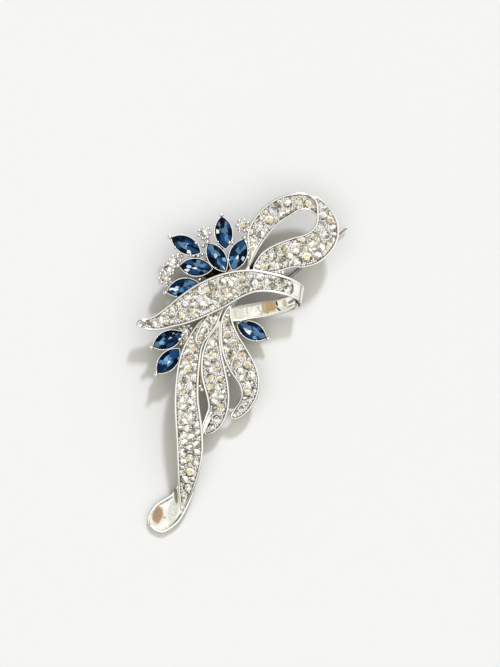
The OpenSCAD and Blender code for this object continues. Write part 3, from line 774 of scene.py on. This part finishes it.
def pick(piece, test):
    """Leave edit mode's selection on the faces that pass a test."""
    mode("EDIT")
    bpy.ops.mesh.select_mode(type="FACE")
    bpy.ops.mesh.select_all(action="DESELECT")
    mode("OBJECT")
    for face in piece.data.polygons:
        face.select = test(face)
    mode("EDIT")


def top(face):
    return face.normal.z > 0.9


def bottom(face):
    return face.normal.z < -0.9


def draw_out(piece, test, *steps):
    """Extrude one face in steps: the rise, and the scale of the new outline along and across."""
    pick(piece, test)
    for rise, along, across in steps:
        bpy.ops.mesh.extrude_region_move(TRANSFORM_OT_translate={"value": (0, 0, rise)})
        bpy.ops.transform.resize(value=(along, across, 1))


def cut_brilliant():
    """A round stone of radius 1: a table, a ring of crown facets and a short cone below."""
    stone = start(
        bpy.ops.mesh.primitive_cylinder_add, vertices=STONE_SIDES, radius=1, depth=GIRDLE_H)
    inward = TABLE / GIRDLE_IN
    draw_out(stone, top, (0, GIRDLE_IN, GIRDLE_IN), (CROWN, inward, inward))
    bpy.ops.mesh.poke()
    draw_out(stone, bottom, (-CULET_D, CULET_IN, CULET_IN))
    pick(stone, lambda face: 0.1 < face.normal.z < 0.97)
    bpy.ops.mesh.quads_convert_to_tris(quad_method="FIXED")
    mode("OBJECT")
    return stone


def stand(spot, out, size):
    """The placing of a copy at a spot, standing along out, turned at random."""
    turn = out.to_track_quat("Z", "Y").to_matrix().to_4x4()
    spin = Matrix.Rotation(random.uniform(0, 2 * pi), 4, "Z")
    return Matrix.Translation(spot * MM) @ turn @ spin @ Matrix.Scale(size * MM, 4)


def copy_of(model, placing):
    """A copy of a model with its own mesh, laid in its place."""
    made = model.copy()
    made.data = model.data.copy()
    made.data.transform(placing)
    bpy.context.scene.collection.objects.link(made)
    return made


def join(parts):
    """One object from many."""
    choose(parts[0])
    for part in parts:
        part.select_set(True)
    bpy.ops.object.join()
    return parts[0]


def light_facets(stone, colour_of):
    """Give each facet of a stone the light that it throws back."""
    fire = stone.data.attributes.new("fire", "FLOAT_COLOR", "FACE")
    for face in stone.data.polygons:
        fire.data[face.index].color = (*colour_of(face), 1)


def blend(a, b, share):
    return tuple(p + (q - p) * share for p, q in zip(a, b))


def rhinestone_light(tint):
    """Painted light on the facets of a foil-backed stone: painted shade round its girdle and on one
    side, painted highlights above, tinted in its table.
    """
    shadow = Vector((1, 0, 0))
    shadow.rotate(Matrix.Rotation(random.uniform(0, 2 * pi), 3, "Z"))

    def colour_of(face):
        far = face.center.xy.length
        shaded = face.center.dot(shadow) > 0
        if face.center.z < 0:
            return GIRDLE_SHADE
        if far > 0.9 * GIRDLE_IN:
            return GIRDLE_SHADE if shaded else TINTS["clear"]
        if far < TABLE and tint in ("clear", "grey"):
            return dim(TINTS[tint], random.choice(SHADED_TABLE if shaded else LIT_TABLE))
        if far < TABLE:
            return dim(TINTS[tint], random.choice(TINTED_TABLE))
        crown = blend(TINTS["clear"], TINTS[tint], 0.3)
        return dim(crown, random.choice(SHADED_CROWN if shaded else LIT_CROWN))
    return colour_of


def jewel(name, gloss, mist):
    """A cut stone, its facets in the colours of their painted light under a clear polish."""
    material, place = new_material(name)
    fire = place.add("Attribute", {"attribute_name": "fire"}, {}, "Color")
    haze = place.noise(1800)
    surface(place, {
        "Base Color": (haze * mist).mix(fire, (0.5, 0.5, 0.48, 1)),
        "Roughness": haze * 0.08 + 0.04,
        "Specular IOR Level": gloss})
    return material


rhinestone = jewel("rhinestone", 0.6, 0.12)
grain_metal = silver("grain_metal", rough=0.42)
brilliant = cut_brilliant()
grain = start(bpy.ops.mesh.primitive_ico_sphere_add, subdivisions=2, radius=1)
bpy.ops.object.shade_smooth()


def pave(name, ribbon, rows, span, covers=(), tints=FILL_TINTS):
    """Set one ribbon's channel with stones and grains."""
    random.seed(name)
    stones, grains = pack_stones(ribbon, rows, span, covers, tints)
    cut = []
    for spot, out, r, tint in stones:
        stone = copy_of(brilliant, stand(Vector(), Vector((0, 0, 1)), 1 / MM))
        light_facets(stone, rhinestone_light(tint))
        stone.data.transform(stand(spot, out, r))
        cut.append(stone)
    keep(join(cut), name + "_stones", rhinestone, name)
    raised = [copy_of(grain, stand(spot, out, r)) for spot, out, r, _ in grains]
    keep(join(raised), name + "_grains", grain_metal, name)


pave("pave_loop_upper", loop_upper, SET_LOOP_UPPER, (3.1, 12), [loop_lower])
pave("pave_loop_lower", loop_lower, SET_LOOP_LOWER, (1, 14.5), [band])
pave("pave_band", band, SET_BAND, (0.8, 12.9))
pave("pave_leaf", leaf, SET_LEAF, (0.3, 6), [band])
pave("pave_tail_left", tail_left, SET_TAIL_LEFT, (1.5, 18.6), [leaf, band, tail_middle], WHITE_TINTS)
pave("pave_tail_middle", tail_middle, SET_TAIL_MIDDLE, (0.5, 11.6))
pave("pave_tail_right", tail_right, SET_TAIL_RIGHT, (0.8, 15), [band])


# Nine deep-blue marquise stones are the petals and leaves. Each is cut glass with a flat table,
# a crown of facets and a foil back that throws light blue patches up through it. These patches
# are painted on its facets as painted highlights, over painted shade on its edges and crown.
STONE_L = 8.32
STONE_W = 4.46
GIRDLE = 0.2
BORDER_H = 0.12
CROWN_WIDE = 0.8
SECTORS = 10
SMALL = 0.36
LARGE = 0.8
NIGHT = (0.0012, 0.0045, 0.014)
NAVY = (0.0035, 0.018, 0.055)
ROYAL = (0.013, 0.064, 0.175)
SLATE = (0.095, 0.19, 0.30)
STEEL = (0.09, 0.25, 0.47)
SKY = (0.18, 0.43, 0.75)
PALE = (0.48, 0.66, 0.85)
WHITE = (1.0, 1.0, 1.0)

# Each step: its rise in mm, and the scale of its outline along and across
CROWN_STEPS = [
    (0.22, 0.93, 0.87),
    (0.38, 0.66, 0.60),
    (0.04, 0.52, 0.46)]
CULET_STEP = (-1.2, 0.3, 0.2)

# Each row: x, y, z of the girdle's middle, heading and rise of the outer tip and roll about
# the length in degrees
MARQUISES = [
    (-14.6, 30.8, 7.0, 153, 4, 8),
    (-4.85, 34.0, 7.6, 97, 3, 0),
    (-12.0, 25.1, 6.9, 176, 3, 0),
    (-6.6, 27.6, 8.2, 122, 2, 0),
    (-1.1, 28.3, 8.0, 70, 0, 0),
    (-15.5, 19.9, 6.0, 197, 6, 0),
    (-19.3, 6.4, 6.3, 205, 4, 0),
    (-19.2, 0.9, 6.2, 228, 4, 0),
    (2.4, 8.7, 3.9, -26, 0, 0)]

# The patches of light in each stone: x, y, reach and colour
LIGHTS = [
    [(-15.5, 31.1, LARGE, SLATE), (-14.4, 30.8, SMALL, PALE), (-14.9, 30.1, 0.5, STEEL),
     (-13.7, 29.4, 0.42, WHITE), (-16.8, 30.7, SMALL, PALE), (-12.8, 29.0, 0.4, ROYAL)],
    [(-4.7, 34.6, LARGE, SLATE), (-4.1, 35.0, 0.6, STEEL), (-6.5, 34.4, 0.42, WHITE),
     (-6.0, 32.9, SMALL, PALE), (-4.3, 32.7, 0.6, STEEL)],
    [(-11.7, 26.1, 0.7, SLATE), (-13.6, 25.1, 0.42, PALE), (-12.2, 24.8, 0.42, WHITE),
     (-10.3, 25.6, 0.5, STEEL), (-13.1, 23.4, 0.45, SKY), (-14.4, 24.2, SMALL, WHITE)],
    [(-7.6, 29.0, 0.7, SLATE), (-6.8, 27.9, 0.42, PALE), (-6.2, 28.5, 0.5, SLATE),
     (-4.9, 26.9, 0.6, SKY), (-5.7, 29.2, SMALL, PALE), (-4.6, 24.8, SMALL, WHITE)],
    [(-0.9, 29.2, LARGE, SLATE), (-0.1, 30.8, SMALL, PALE), (0.4, 30.2, SMALL, SLATE),
     (-1.4, 27.4, 0.4, WHITE), (0.5, 27.3, 0.4, PALE), (-2.4, 27.3, 0.5, STEEL),
     (-2.2, 25.4, 0.5, STEEL)],
    [(-17.3, 20.0, 0.5, PALE), (-18.1, 19.6, 0.42, WHITE), (-17.2, 19.1, SMALL, WHITE),
     (-15.8, 19.3, 0.45, STEEL), (-14.3, 20.0, SMALL, STEEL), (-12.8, 20.5, SMALL, STEEL),
     (-17.9, 18.3, SMALL, PALE), (-17.1, 18.3, 0.4, SKY)],
    [(-18.7, 7.1, 0.32, PALE), (-20.9, 5.6, SMALL, SKY), (-19.5, 6.2, LARGE, NAVY),
     (-17.4, 6.4, 0.7, NAVY), (-19.2, 8.3, 1.2, NIGHT), (-21.6, 6.9, 0.7, NIGHT),
     (-18.6, 4.9, 0.9, ROYAL)],
    [(-19.05, 0.7, 0.32, WHITE), (-19.9, 1.3, 0.65, SKY), (-19.4, 1.0, 1.25, STEEL),
     (-20.7, 0.5, 0.5, STEEL), (-17.1, 2.8, 0.7, ROYAL), (-17.3, 1.6, SMALL, WHITE),
     (-18.4, 0.0, SMALL, PALE)],
    [(1.75, 8.3, 0.6, WHITE), (0.8, 8.8, 0.5, PALE), (3.9, 8.6, 0.6, STEEL),
     (3.0, 9.7, 0.4, STEEL), (2.7, 6.9, 0.45, SKY), (0.65, 7.6, 0.5, STEEL),
     (0.0, 10.0, 0.4, STEEL)]]


def half_width(x, long, wide):
    """Half the width of a marquise outline at x along it."""
    r = (long * long + wide * wide) / (4 * wide)
    return sqrt(max(r * r - x * x, 0)) - (r - wide / 2)


def marquise_block(long, wide, low, high, sides):
    """A slab with a marquise outline, pointed at both ends, in mm."""
    block = start(
        bpy.ops.mesh.primitive_cylinder_add, vertices=sides, radius=1, depth=high - low)
    for point in block.data.vertices:
        x = point.co.x * long / 2
        y = max(half_width(x, long, wide), 0)
        y = 0 if abs(point.co.y) < 1e-4 else y * (1 if point.co.y > 0 else -1)
        point.co = (x, y, point.co.z + (low + high) / 2)
    return block


def at_stone(row):
    """The placing of a setting and its stone."""
    x, y, z, heading, rise, roll = row
    turn = Matrix.Rotation(radians(heading), 4, "Z")
    lift = Matrix.Rotation(radians(-rise), 4, "Y") @ Matrix.Rotation(radians(roll), 4, "X")
    return Matrix.Translation(Vector((x, y, z)) * MM) @ turn @ lift @ Matrix.Scale(MM, 4)


def cut_marquise():
    """A marquise stone in mm, lying along X, with its girdle at 0."""
    stone = marquise_block(STONE_L, STONE_W, -GIRDLE / 2, GIRDLE / 2, 20)
    draw_out(stone, top, *CROWN_STEPS)
    bpy.ops.mesh.poke()
    draw_out(stone, bottom, CULET_STEP)
    mode("OBJECT")
    return stone


def marquise_light(place, lights):
    """Painted light on a deep-blue stone: dark edges, dark crown facets, a blue table, and painted
    highlights over them.
    """
    crown = [random.choice([NIGHT, NIGHT, NAVY, NAVY, ROYAL]) for _ in range(SECTORS)]
    table = [random.choice([NIGHT, NAVY, ROYAL, ROYAL, SLATE]) for _ in range(SECTORS)]

    def colour_of(face):
        centre = face.center.xy
        if face.center.z < GIRDLE / 2 + BORDER_H:
            return NIGHT
        spot = (place @ face.center) / MM
        for x, y, reach, colour in lights:
            if (spot.xy - Vector((x, y))).length < reach:
                return colour
        sector = int(atan2(centre.y / STONE_W, centre.x / STONE_L) / (2 * pi) * SECTORS)
        rim = half_width(centre.x, STONE_L, STONE_W) - abs(centre.y)
        return crown[sector] if rim < CROWN_WIDE else table[sector]
    return colour_of


blue_glass = jewel("blue_glass", 0.05, 0.004)
marquise = cut_marquise()
for number, (row, lights) in enumerate(zip(MARQUISES, LIGHTS), 1):
    random.seed(number)
    stone = copy_of(marquise, Matrix.Identity(4))
    light_facets(stone, marquise_light(at_stone(row), lights))
    stone.data.transform(at_stone(row))
    keep(stone, f"marquise_{number}", blue_glass, f"stone_{number}")


# Each marquise stone sits in a thin cup of white metal. Small claws are pushed over its sides,
# and a ball on a short neck stands at its outer tip.
CUP_WALL = 0.22
CUP_H = 2.1
CUP_BELT = 0.3
CUP_RIM = 0.16
CUP_TAPER = 0.72
CUP_SEAT = (-0.5, 0.97, 0.94)
CUP_EDGE = 0.02
BALL_R = 0.64
BALL_AT = Vector((STONE_L / 2 + 0.5, 0, 0.1))
NECK_FROM = Vector((STONE_L / 2 - 0.4, 0, -1.2))
NECK_R = (0.42, 0.26)
CLAW_R = 0.3
CLAW_ALONG = 2.16
CLAW_OUT = 0.1
CLAW_NECK = (0.22, 0.2)
UNDERSIDE_SHADE = 0.8


def rod(a, b, r1, r2, sides=12):
    """A tapered round bar from a to b."""
    run = b - a
    made = start(
        bpy.ops.mesh.primitive_cone_add, vertices=sides, radius1=r1, radius2=r2, depth=run.length,
        location=(a + b) / 2, rotation=run.to_track_quat("Z", "Y").to_euler())
    bpy.ops.object.transform_apply()
    bpy.ops.object.shade_smooth_by_angle(angle=SHARP)
    return made


def ball(centre, radius):
    made = start(
        bpy.ops.mesh.primitive_uv_sphere_add, segments=16, ring_count=10, radius=radius,
        location=centre)
    bpy.ops.object.transform_apply()
    bpy.ops.object.shade_smooth()
    return made


def paint_underside_shade(piece):
    """Paint shade on a piece's steep sides and its underside."""
    shade_share = piece.data.attributes.new("hollow", "FLOAT", "POINT")
    for point in piece.data.vertices:
        shade_share.data[point.index].value = UNDERSIDE_SHADE * ease(-point.normal.z, -0.5, 0.5)


def bevel(piece, width, segments=2):
    """Round a piece's sharp edges."""
    choose(piece)
    rounding = piece.modifiers.new("rounding", "BEVEL")
    rounding.width = width
    rounding.segments = segments
    rounding.limit_method = "ANGLE"
    bpy.ops.object.modifier_apply(modifier=rounding.name)
    bpy.ops.object.shade_smooth_by_angle(angle=SHARP)


def make_cup():
    """A marquise cup in mm with its claws and its ball."""
    long = STONE_L + 2 * CUP_WALL
    wide = STONE_W + 2 * CUP_WALL
    cup = marquise_block(long, wide, -CUP_BELT, CUP_RIM, 32)
    draw_out(cup, bottom, (CUP_BELT - CUP_H, CUP_TAPER, CUP_TAPER))
    draw_out(cup, top, (0, STONE_L / long, STONE_W / wide), CUP_SEAT)
    mode("OBJECT")
    bevel(cup, CUP_EDGE, 1)
    parts = [cup, ball(BALL_AT, BALL_R), rod(NECK_FROM, BALL_AT, *NECK_R)]
    for side in (-1, 1):
        for x in (-CLAW_ALONG, CLAW_ALONG):
            y = side * (half_width(x, STONE_L, STONE_W) + CLAW_OUT)
            foot = Vector((x, y + side * 0.12, -1))
            parts.append(rod(foot, Vector((x, y, 0.1)), *CLAW_NECK))
            parts.append(ball(Vector((x, y, 0.14)), CLAW_R))
    whole = join(parts)
    # Painted shade on the steep sides and undersides
    paint_underside_shade(whole)
    return whole


setting_metal = silver("setting_metal", rough=0.16)
cup = make_cup()
for number, row in enumerate(MARQUISES, 1):
    solder(copy_of(cup, at_stone(row)), f"cup_{number}", setting_metal)


# The florets are small clear stones, each in a ring of beads like a little flower head.
# Their beads are cast with the cup, and short necks run out to them.
ROUND_R = 0.92
FLORET_CUP_R = 1.14
FLORET_CUP_H = 1.2
FLORET_WALL = 0.82
FLORET_SEAT = (-0.4, 0.95, 0.95)
FLORET_TAPER = 0.7
FLORET_EDGE = 0.06
BEAD_RING = 1.45
BEAD_R = 0.52
BEADS = 7
ROOT_OUT = 0.6
ROOT_DEEP = 0.9
ROOT_R = (0.34, 0.24)

# Each row: x, y, z of the stone's girdle, turn of the ring in degrees, and the stone's tint
FLORETS = [
    (-9.9, 33.9, 7.4, 100, "clear"), (0.1, 35.9, 7.6, 130, "amber"),
    (-17.5, 26.6, 7.2, 110, "clear"), (-19.3, 24.6, 7, 90, "clear"),
    (-20.2, 22.4, 6.8, 135, "yellow"), (-14.3, 8.7, 6.6, 20, "clear"), (-14.8, 6.3, 6.8, 70, "tan")]


def make_floret():
    """A floret's cup, necks and beads in mm."""
    cup = start(
        bpy.ops.mesh.primitive_cylinder_add, vertices=20, radius=FLORET_CUP_R,
        depth=FLORET_CUP_H, location=(0, 0, -FLORET_CUP_H / 2))
    bpy.ops.object.transform_apply()
    draw_out(cup, top, (0, FLORET_WALL, FLORET_WALL), FLORET_SEAT)
    pick(cup, bottom)
    bpy.ops.transform.resize(value=(FLORET_TAPER, FLORET_TAPER, 1))
    mode("OBJECT")
    bevel(cup, FLORET_EDGE)
    parts = [cup]
    for k in range(BEADS):
        way = Vector((cos(2 * pi * k / BEADS), sin(2 * pi * k / BEADS), 0))
        root = Vector((0, 0, -ROOT_DEEP)) + way * ROOT_OUT
        parts += [ball(way * BEAD_RING, BEAD_R), rod(root, way * BEAD_RING, *ROOT_R, 8)]
    whole = join(parts)
    # Painted shade on the steep sides and undersides
    paint_underside_shade(whole)
    return whole


floret = make_floret()
heads = []
crystals = []
random.seed("florets")
for x, y, z, turn, tint in FLORETS:
    spot = Matrix.Translation(Vector((x, y, z)) * MM) @ Matrix.Rotation(radians(turn), 4, "Z")
    heads.append(copy_of(floret, spot @ Matrix.Scale(MM, 4)))
    crystal = copy_of(brilliant, Matrix.Identity(4))
    light_facets(crystal, rhinestone_light(tint))
    crystal.data.transform(spot @ Matrix.Scale(ROUND_R * MM, 4))
    crystals.append(crystal)
solder(join(heads), "floret_settings", setting_metal)
keep(join(crystals), "floret_crystals", rhinestone, "floret_stones")


# Plain bars soldered behind the stones carry each setting to a hub under the band's middle,
# and the brooch rests on the hub, the catch and the curled tail. The hub and the bars that meet
# it are near black as painted shade. A web, near black as painted shade, fills the loop's narrow
# end, and grains of solder stand beside the cups and along the bars.
BAR_ROUND = 0.12
HUB_ROUND = 0.15
SOLDER_D = 1.6
SOLDER_R = 0.3

# Both ends of the hub and of the web, and their radii there
HUB = ((-7.2, 22, 0), (-7.2, 22, 5), 1.5, 2.2)
WEB = ((2.2, 24.2, 6.9), (4.6, 28.4, 6.8), 0.75, 0.3)

# Each row: start x, y, z, end x, y, z, and half the thickness
HUB_ARMS = [
    (-7.1, 22.2, 4, -6.3, 19.4, 7.55, 0.9), (-14.6, 30.7, 5.3, -8.2, 23.1, 4.3, 0.7),
    (-13.4, 25.2, 5.2, -7.8, 22.5, 4.2, 0.8), (-7.2, 28.4, 6.5, -7, 22.4, 4, 0.8),
    (-5, 34.2, 5.9, -6.6, 23.1, 4.1, 0.7), (-1.5, 27.6, 6.3, -6.4, 22.6, 4.3, 0.8),
    (-16.3, 19.8, 4.4, -7.5, 21.7, 3.8, 0.8)]
STEMS = [
    (-9.9, 33.6, 6.3, -7.9, 28.2, 6.5, 0.45), (0.2, 35.6, 6.5, 3.3, 34.1, 7.1, 0.45),
    (-17.5, 26.7, 6.1, -13.9, 25.3, 5.3, 0.45), (-17.3, 26.9, 6.3, -19.5, 24.3, 6, 0.45),
    (-19.3, 24.9, 6.2, -20.3, 22.1, 5.9, 0.45), (-20.3, 22.5, 6, -16.9, 20, 4.9, 0.45),
    (-19, 6.6, 4.7, -12.6, 6.1, 6.9, 0.7), (-18.6, 1.3, 4.7, -13.7, 2.1, 7.2, 0.7),
    (-14.3, 8.8, 5.9, -12.3, 7.7, 7, 0.45), (1.9, 8.9, 1.9, -0.3, 13.1, 5.1, 0.8),
    (-3.9, -11.9, 5.4, -2.2, -11.7, 4.6, 0.45)]
TAIL_BRIDGE = [
    (-10.7, 1.0, 7.9, -10.85, -6.3, 7.9, 0.5)]

# Grains soldered beside the cups and along the stems: x, y, z
GRAINS = [
    (-12, 31.4, 6.9), (-3.4, 31.4, 7.6), (-11.1, 21.9, 6.2), (-16.1, 9.3, 6.2), (-1.2, 10.8, 4.1),
    (-9.7, 32.4, 6.9), (-9.2, 31.3, 6.9), (-8.8, 30.2, 6.9), (-8.5, 29.2, 6.8), (-10.1, 30.6, 6.6),
    (-16.7, 28.4, 6.9), (-15.7, 28, 6.6), (-12.7, 28.1, 6.5), (-11.5, 28, 6.6), (-10.4, 28.4, 6.6),
    (-18, 23.6, 6.6), (-19.6, 20.4, 6.2), (-21.4, 21.2, 6.4), (-2.6, 31.4, 7.4), (-3.2, -11.8, 5.9),
    (0.9, 31.6, 7.6), (1.3, 34.6, 7.6), (-13.2, 9.3, 6.9), (1.7, 29.9, 7.7), (1.5, 28.7, 7.4),
    (1.4, 27.6, 7.4), (10.3, 23.65, 8.5), (9.4, 23.7, 8.4), (8.5, 23.7, 8.4), (-10.5, -6.5, 8),
    (-11, -5.6, 8.1), (-4.35, -0.6, 7.5), (-3.9, -1.6, 7.4), (-3.45, -2.7, 7.2)]


def mottled_metal(name, dark, light):
    """Rough metal mottled between a dark and a light colour; the hub's near black is painted shade.
    """
    material, place = new_material(name)
    cloud = place.noise(900, 3)
    surface(place, {
        "Base Color": (cloud * 2 - 0.5).mix(dark, light),
        "Metallic": 1.0,
        "Roughness": cloud * 0.2 + 0.4})
    return material


def bar(a, b, r1, r2, sides=12):
    """A rod whose ends and radii are in mm."""
    return rod(Vector(a) * MM, Vector(b) * MM, r1 * MM, r2 * MM, sides)


def make_bars(rows):
    """Plain round bars with softened ends."""
    made = []
    for row in rows:
        made.append(bar(row[:3], row[3:6], row[6], row[6]))
        bevel(made[-1], BAR_ROUND * MM)
    return made


# Near black as painted shade, for the hub, the bars that meet it and the web
hub_shade = mottled_metal("hub_shade_metal", (0.008, 0.007, 0.005, 1), (0.05, 0.045, 0.035, 1))
bridge_dull = mottled_metal("tarnished_metal", (0.12, 0.10, 0.06, 1), (0.70, 0.60, 0.38, 1))
arms = make_bars(HUB_ARMS)
web = bar(*WEB)
foot = bar(*HUB, 32)
bevel(foot, HUB_ROUND * MM)
solder(join(arms + [foot, web]), "hub", hub_shade)
solder(join(make_bars(STEMS)), "stems", setting_metal)
solder(join(make_bars(TAIL_BRIDGE)), "tail_bridge", bridge_dull)
raised = []
for x, y, z in GRAINS:
    raised.append(ball(Vector((x, y, z)) * MM, BEAD_R * MM))
    raised.append(bar((x, y, z - SOLDER_D), (x, y, z), SOLDER_R, SOLDER_R, 8))
soldered = join(raised)
# Painted shade on the steep sides and undersides
paint_underside_shade(soldered)
solder(soldered, "setting_grains", setting_metal)


# The pin is a steel wire that swings on a rivet between two ears, and snaps into a plain hook
# of bent strip. The ears stand on a post under the band, and the hook under the loop.
HINGE = Vector((9.9, 20.8, 1.3))
PIN_TURN = 40.4
HINGE_LEAN = 45
EAR_R = 0.85
EAR_W = 0.35
EAR_AT = 0.74
EAR_BACK = -1.5
EAR_FRONT = 0.3
EAR_LOW = 0.2
EAR_HIGH = 2.7
YOKE_W = 0.95
YOKE_LOW = 2.4
YOKE_HIGH = 2.9
SADDLE = Vector((-0.6, 0, 2.6))
SADDLE_R = (0.9, 1.1)
COLLAR = Vector((8.6, 21.8, 5.4))
COLLAR_HALF = Vector((1.3, 1.1, 0.25))
POST_TOP = Vector((8.9, 21.2, 8.95))
POST_R = (1.1, 1.4)
CATCH_AT = 15
HOOK_IN = 0.6
HOOK_OUT = 1.28
HOOK_W = 2.0
HOOK_FROM = radians(-75)
HOOK_STEPS = 18
PLATE_IN = 0.7
PLATE_T = 0.5
PLATE_FOOT = 0.3
PLATE_TOP = 7.3
BLOCK_ROUND = 0.1
LAP = Vector((0, 0, 0.1))
pin_frame = Matrix.Translation(HINGE * MM) @ Matrix.Rotation(radians(PIN_TURN), 4, "Z")
ear_frame = pin_frame @ Matrix.Rotation(radians(-HINGE_LEAN), 4, "X")


def block(low, high, placing):
    """A bevelled block between two corners in mm, then placed."""
    made = start(bpy.ops.mesh.primitive_cube_add, size=1)
    span = Vector(high) - Vector(low)
    middle = (Vector(high) + Vector(low)) / 2
    made.data.transform(placing @ Matrix.Scale(MM, 4) @ Matrix.Translation(middle)
                        @ Matrix.Diagonal((*span, 1)))
    bevel(made, BLOCK_ROUND * MM)
    return made


hinge = []
for side in (-1, 1):
    inner = side * EAR_AT - EAR_W / 2
    outer = side * EAR_AT + EAR_W / 2
    disc = rod(Vector((0, inner, 0)), Vector((0, outer, 0)), EAR_R, EAR_R, 32)
    disc.data.transform(ear_frame @ Matrix.Scale(MM, 4))
    hinge.append(disc)
    hinge.append(block((EAR_BACK, inner, EAR_LOW), (EAR_FRONT, outer, EAR_HIGH), ear_frame))
hinge += [
    block((EAR_BACK, -YOKE_W, YOKE_LOW), (EAR_FRONT, YOKE_W, YOKE_HIGH), ear_frame),
    block(-COLLAR_HALF, COLLAR_HALF, Matrix.Translation(COLLAR * MM)),
    bar(ear_frame @ (SADDLE * MM) / MM, COLLAR + LAP, *SADDLE_R, 16),
    bar(COLLAR - LAP, POST_TOP, *POST_R, 16)]
solder(join(hinge), "hinge_post", setting_metal)

hook = start(bpy.ops.mesh.primitive_plane_add, size=1)
for point in hook.data.vertices:
    reach = HOOK_IN + (HOOK_OUT - HOOK_IN) * (point.co.y + 0.5)
    point.co = (point.co.x * HOOK_W, reach * cos(HOOK_FROM), reach * sin(HOOK_FROM))
mode("EDIT")
bpy.ops.mesh.select_all(action="SELECT")
bpy.ops.mesh.spin(steps=HOOK_STEPS, angle=pi, center=(0, 0, 0), axis=(1, 0, 0))
mode("OBJECT")
hook.data.transform(pin_frame @ Matrix.Translation((CATCH_AT * MM, 0, 0)) @ Matrix.Scale(MM, 4))
close_shell()
post = block(
    (CATCH_AT - HOOK_W / 2, PLATE_IN, PLATE_FOOT),
    (CATCH_AT + HOOK_W / 2, PLATE_IN + PLATE_T, PLATE_TOP), pin_frame)
solder(join([hook, post]), "catch_hook", setting_metal)

pin_metal, place = new_material("pin_steel")
drawn = place.noise(3000)
surface(place, {
    "Base Color": drawn.mix((0.28, 0.27, 0.26, 1), (0.42, 0.41, 0.40, 1)),
    "Metallic": 1.0,
    "Roughness": drawn * 0.08 + 0.1})
for node in ("pin_stem", "hinge_rivet"):
    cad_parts[node].data.materials.clear()
    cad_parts[node].data.materials.append(pin_metal)

# The models of the stones and cups were only there to be copied
for model in (brilliant, grain, marquise, cup, floret):
    bpy.data.objects.remove(model)
